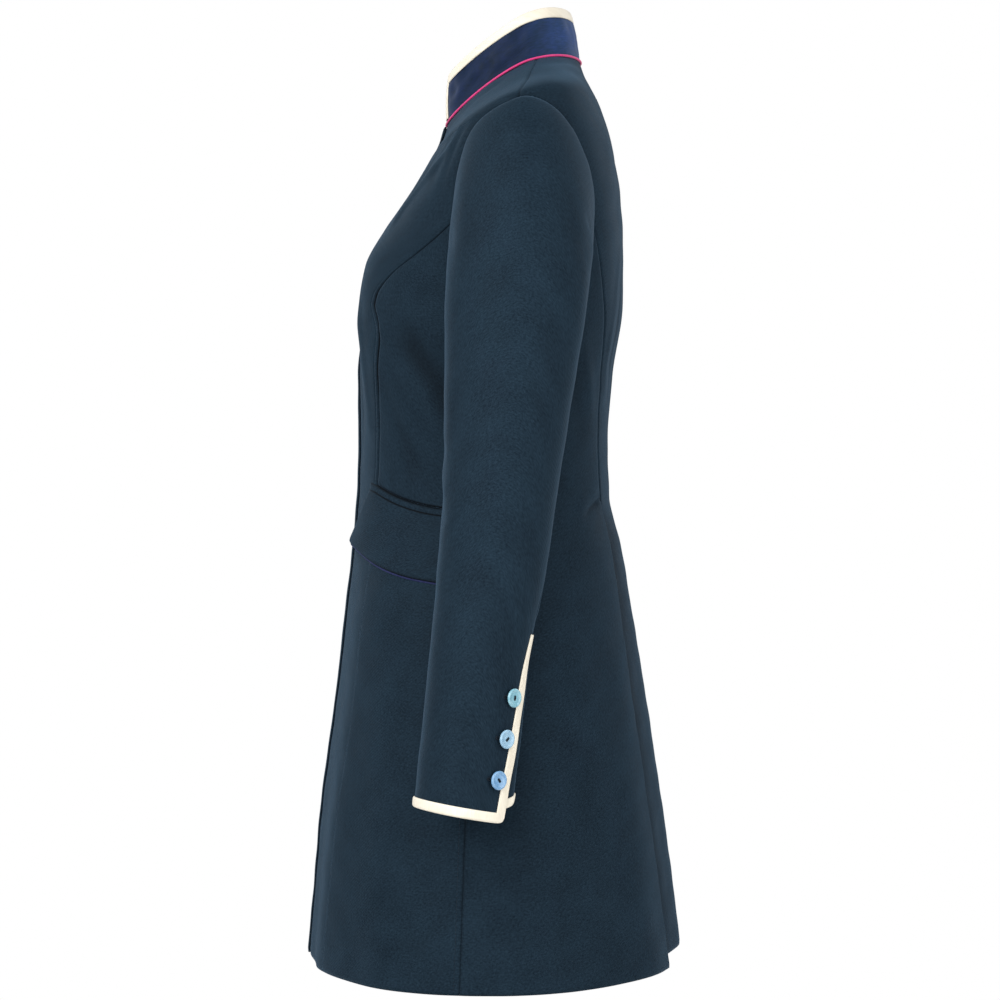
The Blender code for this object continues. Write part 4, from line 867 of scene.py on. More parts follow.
def angle_at(x, level):
    """Angle at which the body lies at the given distance from the centre front."""
    return np.degrees(np.arcsin(x / read_table(BODY_RINGS, "half_width", level)))


def pocket_line(share):
    """Angle and level along the pocket seam, from its front end at 0 to the side seam at 1."""
    front_angle = FRONT_PRINCESS[-1].angle
    side_angle = read_table(SIDE_SEAM, "angle", POCKET_FRONT - POCKET_SLANT)
    angle = front_angle + (side_angle - front_angle) * share
    level = POCKET_FRONT - POCKET_SLANT * share + POCKET_BOW * np.sin(np.pi * np.maximum(share, 0.0))
    return angle, level


def front_lift(x, level):
    """How far the right front stands out where it laps over the left one."""
    over = smooth_step(x, -UNDERLAP - LAP_RAMP, -UNDERLAP)
    below_neck = np.maximum(smooth_step(-level, 0.0, LAP_NECK), smooth_step(x, *LAP_NECK_EDGE))
    corner = smooth_step(x, 0.0, OVERLAP) * np.exp(-(((level - LAP_CORNER_LEVEL) / LAP_CORNER_SPREAD) ** 2))
    return (CLOTH + LAP_GAP) * over * below_neck + LAP_CORNER_LIFT * corner


def run_along(points):
    """Distance of each point of a line from its start."""
    return np.concatenate([[0.0], np.cumsum(np.linalg.norm(np.diff(points, axis=0), axis=1))])


def stitch_faces(first, sections, corners):
    """Faces of one stitch, ring after ring of corners from the first vertex on, closed at both ends."""
    faces = []
    for ring in range(first, first + (sections - 1) * corners, corners):
        for k in range(corners):
            after = (k + 1) % corners
            faces.append((ring + k, ring + after, ring + after + corners, ring + k + corners))
    faces.append(tuple(range(first + corners - 1, first - 1, -1)))
    faces.append(tuple(range(first + (sections - 1) * corners, first + sections * corners)))
    return faces


def solid_piece(name, verts, faces, material):
    """A piece made straight from its vertices and faces."""
    mesh = bpy.data.meshes.new(name)
    mesh.from_pydata(np.asarray(verts).tolist(), [], faces)
    mesh.materials.append(material)
    mesh.shade_smooth()
    piece = bpy.data.objects.new(name, mesh)
    bpy.context.scene.collection.objects.link(piece)
    return piece


def stitch_row(name, points, normals):
    """A row of short stitches that lie along a line of points."""
    run = run_along(points)

    def on_line(values, at):
        return np.array([np.interp(at, run, values[:, k]) for k in range(3)])

    verts, faces = [], []
    for start in np.arange(STITCH_PITCH / 2, run[-1] - STITCH_LENGTH, STITCH_PITCH):
        faces += stitch_faces(len(verts), len(STITCH_SECTIONS), STITCH_CORNERS)
        for share, size in STITCH_SECTIONS:
            at = start + STITCH_LENGTH * share
            middle = on_line(points, at)
            out = unit(on_line(normals, at))
            way = unit(on_line(points, at + 0.0005) - middle)
            across = unit(np.cross(way, out))
            sink = STITCH_RADIUS * (0.9 * (2 * share - 1) ** 2 - 0.5)
            for k in range(STITCH_CORNERS):
                turn = 2 * math.pi * k / STITCH_CORNERS
                up = np.sin(turn) * STITCH_RADIUS * size - sink
                verts.append(middle + out * up + across * (np.cos(turn) * STITCH_WIDTH * size))
    piece = solid_piece(name, verts, faces, sewing_thread)
    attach(piece, "root")


def make_sewing_thread():
    """Navy sewing thread, twisted and a little shiny."""
    thread = Nodes("navy_thread")
    twist = thread.noise(thread.place(), 2500.0, 1.0)
    thread.colour(thread.ramp(twist, ((0.3, (0.003, 0.006, 0.010)), (0.7, (0.009, 0.016, 0.026)))))
    thread.bump(twist, 0.0001, 0.4)
    return thread.finish(Roughness=0.5, Specular_IOR_Level=0.15)


sewing_thread = make_sewing_thread()


def make_front(side_name, side):
    """The front of one side with its prick stitches."""
    levels, outer = body_rows(POCKET_FRONT, FRONT_PRINCESS, FRONT_PRINCESS_TURN)
    edge_x = -UNDERLAP if side > 0 else -OVERLAP
    dense = panel_samples(angle_at(edge_x, levels), outer, levels)
    bodice = space_columns(dense, body, near_right=STITCHED_COLUMNS)
    x = body(bodice[..., 0], bodice[..., 1])[..., 0]
    # The neck is cut lower towards the front edge, and the right front's top corner is rounded off.
    squeeze = np.clip(1 - levels / SHOULDER_END, 0.0, 1.0)[:, None]
    if side > 0:
        drop = np.interp(x, (-UNDERLAP, 0.0), (UNDERLAP_TOP, 0.0))
    else:
        drop = np.interp(x, (-OVERLAP, 0.0, UNDERLAP), (OVERLAP_TOP, OVERLAP_NECK, 0.0))
        cut = np.clip(FRONT_CORNER - (x + OVERLAP), 0.0, FRONT_CORNER)
        drop = drop - (FRONT_CORNER - np.sqrt(FRONT_CORNER**2 - cut**2))
    bodice[..., 1] += drop * squeeze
    lap = x < UNDERLAP
    bodice[..., 0] = np.where(lap, angle_at(np.where(lap, x, 0.0), bodice[..., 1]), bodice[..., 0])

    # The skirt goes on below the bodice and the pocket seam, out to the side seam.
    fine = np.stack(pocket_line(np.linspace(0.0, 1.0, LINE_SAMPLES)), axis=-1)[None]
    pocket = space_columns(fine, body, (0.0,), STITCHED_COLUMNS)[0, 1:]
    top = np.concatenate([bodice[-1], pocket])
    hem_in = angle_at(edge_x, HEM)
    hem_out = read_table(SIDE_SEAM, "angle", HEM)
    hem_dense = hem_in + (hem_out - hem_in) * np.linspace(0.0, 1.0, HEM_SAMPLES)
    hem_run = run_along(body(hem_dense, HEM))
    top_points = body(top[:, 0], top[:, 1])
    top_run = run_along(top_points)
    kept_left = OVERLAP + UNDERLAP + LAP_RAMP
    kept_right = STITCHED_COLUMNS[-1]
    at = np.interp(
        top_run,
        (0.0, kept_left, top_run[-1] - kept_right, top_run[-1]),
        (0.0, kept_left, hem_run[-1] - kept_right, hem_run[-1]),
    )
    hem_angle = np.interp(at, hem_run, hem_dense)
    skirt_rows = int((POCKET_FRONT - HEM) / GRID_STEP) + 1
    down = np.linspace(0.0, 1.0, skirt_rows)[1:, None]
    skirt_levels = top[None, :, 1] * (1 - down) + HEM * down
    skirt_angles = top[None, :, 0] * (1 - down) + hem_angle[None] * down
    to_side = read_table(SIDE_SEAM, "angle", skirt_levels[:, -1]) - skirt_angles[:, -1]
    toward_side = smooth_step(np.arange(len(top)) / (len(top) - 1), SKIRT_TURN_START, 1.0)
    skirt_angles += to_side[:, None] * toward_side
    kept = top_run <= kept_left
    skirt_angles[:, kept] = angle_at(top_points[kept, 0][None], skirt_levels[:, kept])

    grid = np.full((len(levels) + skirt_rows - 1, len(top), 2), np.nan)
    grid[: len(levels), : bodice.shape[1]] = bodice
    grid[len(levels) - 1] = top
    grid[len(levels) :, :, 0] = skirt_angles
    grid[len(levels) :, :, 1] = skirt_levels
    base, normal = laid_on_body(grid)
    from_left, from_right, from_top, from_bottom = edge_distances(base)
    roll = seam_roll(from_right, FRONT_PRINCESS_PRESS) + seam_roll(from_top, FRONT_NECK_PRESS)
    roll += seam_roll(from_left, UNDERLAP_EDGE_PRESS if side > 0 else LAP_EDGE_PRESS)
    roll += seam_roll(from_bottom, HEM_PRESS)
    below_shoulder = np.nan_to_num(smooth_step(-grid[..., 1], *PRINCESS_STITCHED))
    roll += STITCH_SINK * np.exp(-(((from_right - STITCH_OFFSET) / STITCH_SINK_WIDTH) ** 2)) * below_shoulder
    world = mirrored(np.nan_to_num(base), side)
    lift = body_relief(world) - roll
    if side < 0:
        lift = lift + front_lift(-base[..., 0], grid[..., 1])
    points = base + normal * lift[..., None]
    # Painted shade: deeper in the princess seam between the shoulder and the waist, and light along the right
    # front's lapped edge
    above_waist = np.nan_to_num(1 - smooth_step(-grid[..., 1], *PRINCESS_FAINTER))
    dark = FRONT_PRINCESS_PRESS.dark + PRINCESS_DARKER * (below_shoulder * above_waist)
    seams = [(from_right, FRONT_PRINCESS_PRESS._replace(dark=dark)), (from_top, FRONT_NECK_PRESS)]
    if side < 0:
        seams.append((from_left, LAP_EDGE_PRESS))
    piece = side_panel(f"front_{side_name}_cloth", points, side, body_shade(world, *seams))

    stitched = np.argmin(np.abs(from_right - STITCH_OFFSET), axis=1)
    princess_rows = np.nonzero(levels < STITCH_TOP)[0][:-1]
    side_seam_rows = np.arange(len(levels) + 2, len(grid))
    for part, rows in (("princess", princess_rows), ("side_seam", side_seam_rows)):
        out = normal[rows, stitched[rows]]
        line = points[rows, stitched[rows]] + out * CLOTH
        stitch_row(f"{part}_stitches_{side_name}", mirrored(line, side), mirrored(out, side))
    return piece


for side_name, side in SIDES:
    front = make_front(side_name, side)
    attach(front, "root")
    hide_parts(f"front_{side_name}")


# ------------------------------------------------------------------------------
# Side fronts. The small panel under the bust and the arm, from the front princess seam to the side seam, cut
# off below along the slanted pocket. Its curved princess edge is eased in, which gives the front its shape.

POCKET_SEAM_GAP = 0.0007
SIDE_FRONT_PRINCESS_PRESS = Press(0.0020, 0.0016, 2.5)
SIDE_FRONT_SIDE_PRESS = Press(0.0011, 0.0012, 0.9)
SIDE_FRONT_ARMHOLE_PRESS = Press(0.0009, 0.0012, 0.9)
SIDE_FRONT_POCKET_PRESS = Press(0.0008, 0.0011, 3.0)


def make_side_front(side_name, side):
    """The side front of one side, from the armhole down to the pocket seam."""
    top = np.stack(armhole(np.linspace(FRONT_PRINCESS_TURN, -180.0, SIDE_PANEL_SAMPLES)), axis=-1)
    bottom = np.stack(pocket_line(np.linspace(0.0, 1.0, SIDE_PANEL_SAMPLES)), axis=-1)
    bottom[:, 1] += POCKET_SEAM_GAP
    height = top[0, 1] - bottom[0, 1]
    near = np.array(SEAM_COLUMNS)
    middle = np.linspace(near[-1], height - near[-1], int(height / GRID_STEP))[1:-1]
    down = np.concatenate([near, middle, height - near[::-1]]) / height
    left_levels = top[0, 1] + (bottom[0, 1] - top[0, 1]) * down
    right_levels = top[-1, 1] + (bottom[-1, 1] - top[-1, 1]) * down
    left = np.stack([read_table(FRONT_PRINCESS, "angle", left_levels), left_levels], axis=-1)
    right = np.stack([read_table(SIDE_SEAM, "angle", right_levels), right_levels], axis=-1)
    left[0] = top[0]
    top[-1, 0] = right[0, 0]
    spaced = space_columns(inside_edges(left, right, top, bottom, down), body)
    base, normal = laid_on_body(spaced)
    presses = (
        SIDE_FRONT_PRINCESS_PRESS, SIDE_FRONT_SIDE_PRESS, SIDE_FRONT_ARMHOLE_PRESS, SIDE_FRONT_POCKET_PRESS,
    )
    seams = list(zip(edge_distances(base), presses))
    roll = sum(seam_roll(distance, press) for distance, press in seams)
    world = mirrored(base, side)
    points = base + normal * (body_relief(world) - roll)[..., None]
    return side_panel(f"side_front_{side_name}_cloth", points, side, body_shade(world, *seams))


for side_name, side in SIDES:
    side_front = make_side_front(side_name, side)
    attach(side_front, "root")
    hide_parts(f"side_front_{side_name}")


# ------------------------------------------------------------------------------
# Pockets. A narrow jet closes each slanted pocket seam, and a flap of doubled cloth hangs from it with a fine
# navy piping let into its free edges. The flap is pressed flat but its front corner stands a little off.

JET_HEIGHT = 0.0070
JET_LIFT = 0.0011
JET_SINK = 0.0011
JET_LET_IN = 0.35
JET_END_ROLL = Press(1.0, 0.0012, 0.0)
# Painted shade lines, with no turn of the cloth, round the jet's front end and top and along its foot
JET_END_SHADE = Press(0.0, 0.0012, 1.6)
JET_FOOT_SHADE = Press(0.0, 0.0012, 1.9)
JET_ROWS = (0.0, 0.03, 0.08, 0.18, 0.34, 0.52, 0.70, 0.85, 0.94, 0.98, 1.0)
JET_NEAR_FRONT = (0.0, 0.002, 0.006, 0.012)
JET_COLUMNS = 60
POCKET_START = -0.11
POCKET_END = 0.93
FLAP_LENGTH = 0.145
FLAP_HEIGHT = 0.057
FLAP_CLOTH = 0.0020
FLAP_FRONT_PRESS = Press(0.0010, 0.0014, 0.8)
FLAP_TOP_PRESS = Press(0.0012, 0.0014, 2.5)
FLAP_FOOT_PRESS = Press(0.0010, 0.0014, 1.9)
FLAP_TOP_ROLL = 0.10
FLAP_DROP_FRONT = 0.056
FLAP_DROP_BACK = 0.066
FLAP_LEAN = 0.036
FLAP_LEAN_BACK = 0.012
FLAP_CORNER = 0.0050
FLAP_CORNER_IN = 0.6
FLAP_EASE = 0.0006
FLAP_TUCK = 0.0006
FLAP_WAVE = 0.0004
FLAP_WAVE_PITCH = 11.0
FLAP_WAVE_START = 0.6
FLAP_LET_IN = 0.25
FLAP_STAND = 0.0062
FLAP_PIPING_RADIUS = 0.00095
FLAP_PIPING_OUT = 0.75
FLAP_PIPING_UP = 0.45
FLAP_NEAR_FRONT = (0.0, 0.0035, 0.008, 0.015)
FLAP_COLUMNS = 56
FLAP_NEAR_TOP = (0.0, 0.008, 0.018, 0.032)
FLAP_ROWS = 26
FLAP_NEAR_FOOT = (0.075, 0.045, 0.022, 0.009, 0.0)


def along_pocket(share):
    """Angle and level along the seam under the jet and the flap, which reach past the pocket's front end."""
    return pocket_line(POCKET_START + (POCKET_END - POCKET_START) * share)


def on_body(angle, level, lift):
    """Point at the given height above the worn surface of the body's cloth, on the left side."""
    base = body(angle, level)
    return base + body_normal(angle, level) * (CLOTH + body_relief(base) + np.asarray(lift))[..., None]


def make_jet(side_name, side):
    """The jet of one pocket: a narrow strip of cloth, rounded over its seam."""
    length_shares = np.concatenate([JET_NEAR_FRONT, np.linspace(0.02, 1.0, JET_COLUMNS)])
    rows = np.array(JET_ROWS)
    angle, level = along_pocket(length_shares)
    across = POCKET_SEAM_GAP + (JET_HEIGHT - POCKET_SEAM_GAP) * rows
    angles = np.repeat(angle[None], len(rows), 0)
    levels = level[None] - across[:, None]
    round_front = 1 - seam_roll(length_shares * FLAP_LENGTH, JET_END_ROLL)
    round_edges = (1 - np.abs(2 * rows - 1) ** 5)[:, None] * round_front[None]
    points = on_body(angles, levels, JET_LIFT * round_edges - JET_SINK - CLOTH * JET_LET_IN)
    from_left, _, from_top, from_bottom = edge_distances(points)
    # Painted shade round the jet's edges
    shade = seam_shade((from_left, JET_END_SHADE), (from_top, JET_END_SHADE), (from_bottom, JET_FOOT_SHADE))
    jet = side_panel(f"pocket_jet_{side_name}_cloth", points, side, shade)
    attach(jet, "root")
    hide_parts(f"pocket_jet_{side_name}")


def flap_surface(u, v, lift):
    """Point of the flap: u 0 to 1 from its front edge to its back end, v 0 to 1 down from the jet."""
    angle, level = along_pocket(u)
    drop = FLAP_DROP_FRONT + (FLAP_DROP_BACK - FLAP_DROP_FRONT) * u - JET_HEIGHT
    lean = FLAP_LEAN + (FLAP_LEAN_BACK - FLAP_LEAN) * u
    level = level - JET_HEIGHT + FLAP_TUCK - drop * v
    angle = angle - around(lean * v, angle, level)
    stand = FLAP_EASE + FLAP_STAND * v**1.4 * (1 - u) ** 3
    return on_body(angle, level, stand + lift)


def piping_tube(name, points, radius, material, ring=10, ruffle=0.0):
    """Piping: a covered cord through the points, whose cloth runs along it."""
    tangents = unit(np.gradient(points, axis=0))
    start = np.array([0.0, 0.0, 1.0]) if abs(tangents[0, 2]) < 0.8 else np.array([0.0, 1.0, 0.0])
    side_way = unit(np.cross(tangents[0], start))
    run = run_along(points)
    wobble = np.random.default_rng(len(points))
    swell = 1 + ruffle * np.convolve(wobble.normal(size=len(points) + 8), np.hanning(9) / 2.0, "valid")
    turn = np.linspace(0.0, 2 * math.pi, ring + 1)[:ring, None]
    loops = []
    for point, tangent, thick in zip(points, tangents, swell):
        side_way = unit(side_way - tangent * np.dot(side_way, tangent))
        up = np.cross(tangent, side_way)
        loops.append(point + radius * thick * (np.cos(turn) * side_way + np.sin(turn) * up))
    verts = np.concatenate(loops)
    faces = []
    for i in range(len(points) - 1):
        for k in range(ring):
            a, b = i * ring + k, i * ring + (k + 1) % ring
            faces.append((a, a + ring, b + ring, b))
    faces.append(tuple(range(ring)))
    faces.append(tuple(range(len(verts) - 1, len(verts) - ring - 1, -1)))
    piece = solid_piece(name, verts, faces, material)
    mesh = piece.data
    layer = mesh.uv_layers.new(name="grain")
    for polygon in mesh.polygons:
        for loop in polygon.loop_indices:
            vert = mesh.loops[loop].vertex_index
            layer.data[loop].uv = (run[vert // ring], (vert % ring) / ring * 2 * math.pi * radius)
    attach(piece, "root")
    return piece


def make_satin(name, dark, light, roughness, streak=(900.0, 60.0, 1.0), gloss=0.45, bloom=(1.0, 1.0, 1.0)):
    """A satin: long floats along the piece, a fine weave under them and a soft shine."""
    satin = Nodes(name)
    grain = satin.grain()
    floats = satin.noise(satin.stretched(grain, streak), 1.0, 3.0, 0.6)
    weave = satin.noise(satin.stretched(grain, (2600.0, 1040.0, 1.0)), 1.0, 1.0)
    cloud = satin.noise(grain, 60.0, 2.0)
    tone = satin.blend((floats, 0.6), (cloud, 0.4))
    satin.colour(satin.shaded(satin.ramp(tone, ((0.32, dark), (0.68, light)))))
    satin.roughness(cloud, roughness, roughness + 0.12)
    satin.bump(satin.blend((floats, 1), (weave, 0.5)), 0.00012, 0.5)
    return satin.finish(Specular_IOR_Level=gloss, Sheen_Weight=0.15, Sheen_Tint=(*bloom, 1.0))


navy_satin = make_satin(
    "navy_satin", (0.008, 0.011, 0.042), (0.017, 0.023, 0.076), 0.60, gloss=0.10, bloom=(0.25, 0.32, 0.80)
)


def make_flap(side_name, side):
    """The flap of one pocket and the piping along its front and lower edges."""
    u = np.concatenate([FLAP_NEAR_FRONT, np.linspace(0.025, 1.0, FLAP_COLUMNS)])
    near_foot = 1.0 - np.array(FLAP_NEAR_FOOT)
    v = np.concatenate([FLAP_NEAR_TOP, np.linspace(0.05, 1.0 - 0.11, FLAP_ROWS), near_foot])
    corner_u = FLAP_CORNER / FLAP_LENGTH
    corner_v = FLAP_CORNER / FLAP_HEIGHT
    across, down = np.meshgrid(u, v)
    # The front bottom corner is rounded: the edge rows and columns are drawn in round it.
    in_u = np.clip(1 - across / corner_u, 0.0, 1.0)
    in_v = np.clip((down - (1 - corner_v)) / corner_v, 0.0, 1.0)
    shorter = corner_v * (1 - np.sqrt(1 - in_u**2)) * smooth_step(down, 1 - 3 * corner_v, 1.0)
    down = down - shorter
    near_front = 1 - smooth_step(across, 0.0, 3 * corner_u)
    across = across + corner_u * (1 - np.sqrt(1 - in_v**2)) * near_front * FLAP_CORNER_IN
    lift = -seam_roll(across * FLAP_LENGTH, FLAP_FRONT_PRESS)
    lift -= seam_roll((1 - down) * FLAP_HEIGHT, FLAP_FOOT_PRESS)
    lift -= FLAP_TOP_PRESS.depth * (1 - smooth_step(down, 0.0, FLAP_TOP_ROLL))
    lift += FLAP_WAVE * np.sin(across * FLAP_WAVE_PITCH + FLAP_WAVE_START) * down - FLAP_CLOTH * FLAP_LET_IN
    points = flap_surface(across, down, lift)
    from_left, _, from_top, from_bottom = edge_distances(points)
    # Painted shade along the flap's front, top and foot
    shade = seam_shade(
        (from_left, FLAP_FRONT_PRESS), (from_top, FLAP_TOP_PRESS), (from_bottom, FLAP_FOOT_PRESS)
    )
    piece = side_panel(f"pocket_flap_{side_name}_cloth", points, side, shade, FLAP_CLOTH)
    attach(piece, "root")
    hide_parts(f"pocket_flap_{side_name}")

    edge = np.concatenate([points[:-1, 0], points[-1]])
    inner = np.concatenate([points[:-1, 3], points[-4]])
    inner[len(points) - 1] = points[-4, 3]
    away = unit(edge - inner)
    step = unit(np.gradient(edge, axis=0))
    above = unit(np.cross(away, step))
    line = edge + away * FLAP_PIPING_RADIUS * FLAP_PIPING_OUT + above * FLAP_CLOTH * FLAP_PIPING_UP
    cord = piping_tube(
        f"flap_piping_{side_name}_cord", mirrored(line, side), FLAP_PIPING_RADIUS, navy_satin,
        ruffle=0.03,
    )
    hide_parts(f"flap_piping_{side_name}")


for side_name, side in SIDES:
    make_jet(side_name, side)
    make_flap(side_name, side)


# ------------------------------------------------------------------------------
# Collar. A stand of navy satin on a firm interlining, 42 mm high at the centre back and open at the centre
# front. The satin is a little full for its core, so it dimples between the neck seam and the binding.

COLLAR_END = 0.0045
COLLAR_SEAM_RISE = 0.0026
COLLAR_HEIGHT = 0.042
BINDING_WIDTH = 0.0075
COLLAR_BOW = 0.0012
COLLAR_COLUMNS = 150
COLLAR_TOP_UPS = (1.0, 0.94)
COLLAR_BY_BINDING = (-0.0024, -0.0012, 0.0, 0.0007, 0.0014, 0.0022, 0.0032)
COLLAR_ROWS = 14
COLLAR_SEAM_UPS = (0.07, 0.045, 0.025, 0.010, 0.0, -0.03, -0.06)
COLLAR_SEAM_PRESS = Press(0.0012, 0.0016, 0.5)
# A painted shade line, with no turn of the cloth, where the satin meets the binding's edge
COLLAR_BINDING_SHADE = Press(0.0, 0.0012, 0.9)
COLLAR_FULL = 0.33
COLLAR_DIMPLE = 0.00022
COLLAR_DIMPLE_PITCH = 0.42
COLLAR_DRIFT = 1.3
COLLAR_DRIFT_PITCH = 0.07
COLLAR_RIPPLE = 3.0
COLLAR_RIPPLE_CLOSER = 1.6
# Painted shade over the collar's front, fading out towards the back, whose bright satin tones stand for the
# lit side
COLLAR_FRONT_SHADE = 0.66
COLLAR_FRONT_SHADED = (0.42, 0.80)
CollarRing = namedtuple("CollarRing", "z_front z_side z_back y_front y_side y_back half_width")
COLLAR_TOP = CollarRing(-0.0170, 0.0290, 0.0405, -0.0575, 0.0080, 0.0530, 0.0590)
COLLAR_FRONT_CLIMB = Climb(0.8, 1.5)
COLLAR_BACK_CLIMB = Climb(2.0, 2.0)
COLLAR_CREASES = (
    Crease(-0.0007, 0.0050, ((34, 0.16), (46, 0.22), (58, 0.34))),
    Crease(0.0006, 0.0045, ((40, 0.46), (56, 0.52), (74, 0.60))),
    Crease(-0.0006, 0.0050, ((62, 0.12), (80, 0.18), (96, 0.30))),
    Crease(0.0005, 0.0040, ((70, 0.40), (88, 0.38), (104, 0.46))),
    Crease(-0.0007, 0.0055, ((96, 0.66), (112, 0.58), (126, 0.50))),
    Crease(0.0006, 0.0040, ((112, 0.24), (128, 0.30), (142, 0.26))),
    Crease(-0.0006, 0.0045, ((132, 0.62), (148, 0.66), (160, 0.60))),
    Crease(0.0005, 0.0045, ((150, 0.20), (164, 0.26), (174, 0.40))),
    Crease(-0.0005, 0.0040, ((16, 0.52), (24, 0.44), (33, 0.50))),
)


def collar_point(angle, up):
    """Point on the inside of the collar: up 0 at the neck seam, 1 at the top edge."""
    angle, up = np.broadcast_arrays(np.asarray(angle, dtype=float), np.asarray(up, dtype=float))
    base = body(angle, np.zeros_like(angle)) + np.array([0.0, 0.0, COLLAR_SEAM_RISE])
    across = np.sin(np.radians(angle))
    along = np.cos(np.radians(angle))
    share = np.abs(along)
    y_end = np.where(along > 0, COLLAR_TOP.y_front, COLLAR_TOP.y_back)
    z_end = np.where(along > 0, COLLAR_TOP.z_front, COLLAR_TOP.z_back)
    rise = climb(share, along > 0, COLLAR_FRONT_CLIMB, COLLAR_BACK_CLIMB)
    top = np.stack(
        [
            COLLAR_TOP.half_width * across,
            COLLAR_TOP.y_side + (y_end - COLLAR_TOP.y_side) * share,
            COLLAR_TOP.z_side + (z_end - COLLAR_TOP.z_side) * rise,
        ],
        axis=-1,
    )
    t = up[..., None]
    bow = np.sin(np.pi * t) * COLLAR_BOW
    outward = np.stack([across, -along, np.zeros_like(across)], axis=-1)
    return base + (top - base) * t + outward * bow


def collar_normal(angle, up):
    """Outward direction of the collar's cloth."""
    angle, up = np.broadcast_arrays(np.asarray(angle, dtype=float), np.asarray(up, dtype=float))
    round_neck = collar_point(angle + 0.5, up) - collar_point(angle - 0.5, up)
    rise = collar_point(angle, np.clip(up + 0.02, 0, 1)) - collar_point(angle, np.clip(up - 0.02, 0, 1))
    return unit(np.cross(round_neck, rise))


collar_crease_lines = crease_lines(COLLAR_CREASES, collar_point, 23)
# The satin's tones are set bright for the lit back of the collar; painted shade darkens its front
collar_satin = make_satin(
    "collar_satin", (0.0110, 0.0290, 0.0560), (0.0230, 0.0490, 0.1560), 0.50, (160.0, 700.0, 1.0),
    gloss=0.09, bloom=(0.20, 0.40, 1.0),
)
collar_end = angle_at(COLLAR_END, 0.0)


def make_collar():
    """The satin stand, whose top edge goes up into the binding."""
    angles = np.linspace(collar_end, 360.0 - collar_end, COLLAR_COLUMNS)
    by_binding = 1.0 - (BINDING_WIDTH + np.array(COLLAR_BY_BINDING)) / COLLAR_HEIGHT
    middle = np.linspace(0.70, 0.10, COLLAR_ROWS)
    grid_angles, grid_ups = np.meshgrid(
        angles, np.concatenate([COLLAR_TOP_UPS, by_binding, middle, COLLAR_SEAM_UPS])
    )
    base = collar_point(grid_angles, grid_ups)
    normal = collar_normal(grid_angles, grid_ups)
    from_left, from_right, from_top, from_bottom = edge_distances(base)
    full = np.exp(-(((grid_ups - 0.5) / COLLAR_FULL) ** 4))
    drift = COLLAR_DRIFT * np.sin(grid_angles * COLLAR_DRIFT_PITCH)
    dimples = COLLAR_DIMPLE * np.sin(grid_angles * COLLAR_DIMPLE_PITCH + drift) * full
    uneven = COLLAR_RIPPLE * ripples(base * COLLAR_RIPPLE_CLOSER) * full
    lift = crease_height(base, collar_crease_lines) + dimples + uneven
    lift -= seam_roll(from_bottom, COLLAR_SEAM_PRESS)
    from_binding = np.minimum(from_top, np.minimum(from_left, from_right)) - BINDING_WIDTH
    # Painted shade in the neck seam, along the binding and over the front, so that the back reads as lit
    turned_back = 1.0 - np.abs(grid_angles - 180.0) / 180.0
    in_seams = seam_shade((from_binding, COLLAR_BINDING_SHADE), (from_bottom, COLLAR_SEAM_PRESS))
    in_front = COLLAR_FRONT_SHADE * (1 - smooth_step(turned_back, *COLLAR_FRONT_SHADED))
    shade = np.maximum(in_seams, in_front)
    piece = cloth_sheet("collar_stand", base + normal * lift[..., None], collar_satin, shade=shade)
    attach(piece, "root")
    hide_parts("collar")


make_collar()


# ------------------------------------------------------------------------------
# Neck piping. A cord covered with magenta satin and sewn into the seam between the collar and the neck. Its
# inner side is caught in the seam, and its outer side shows as a thin line all round.

NECK_PIPING_RADIUS = 0.0011
NECK_PIPING_EASE = 1.12
NECK_PIPING_SINK = 0.0004
NECK_PIPING_END = 0.0028
NECK_PIPING_POINTS = 260
magenta_satin = make_satin("magenta_satin", (0.500, 0.022, 0.135), (0.700, 0.048, 0.225), 0.50, gloss=0.25)


def make_neck_piping():
    """The cord in the neck seam, lying between the coat's cloth and the collar."""
    end = angle_at(NECK_PIPING_END, 0.0)
    angles = np.linspace(end, 360.0 - end, NECK_PIPING_POINTS)
    seam = body(angles, np.zeros_like(angles))
    coat_out = body_normal(angles, np.full_like(angles, -0.002))
    collar_out = collar_normal(angles, np.full_like(angles, 0.05))
    reach = CLOTH + SEAM_GAP + NECK_PIPING_RADIUS
    between = coat_out + collar_out
    scale = reach / (1 + np.sum(coat_out * collar_out, axis=-1, keepdims=True))
    line = seam + between * (scale * NECK_PIPING_EASE - NECK_PIPING_SINK)
    cord = piping_tube(
        "neck_piping_cord", line, NECK_PIPING_RADIUS, magenta_satin, ring=14, ruffle=0.03
    )
    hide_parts("neck_piping")


make_neck_piping()


# ------------------------------------------------------------------------------
# Collar binding. A bias strip of cream satin folded round the collar's top and front edges, and mitred where
# it turns the front corners. It is a little full, so it stands rounded over the edge.

BINDING_CLOTH = 0.00055
BINDING_PUFF = 0.0007
BINDING_SHARES = (1.0, 0.985, 0.95, 0.88, 0.72, 0.50, 0.28, 0.12, 0.04)
BINDING_RISE = (0.0, 0.45, 0.80, 1.0, 1.15, 1.15, 1.10, 1.0, 0.92)
BINDING_FOLD_TURNS = (72, 45, 18, 0, -18, -45, -72)
BINDING_FOLD_FLATTER = 0.9
BINDING_CLEARANCE = 0.00005
BINDING_FRONT_FOOT = 0.035
BINDING_POINTS = 250
BINDING_WAVER = 0.35
BINDING_WAVER_SPAN = 13
cream_satin = make_satin("cream_satin", (0.64, 0.58, 0.46), (0.78, 0.73, 0.62), 0.45, (1400.0, 120.0, 1.0))


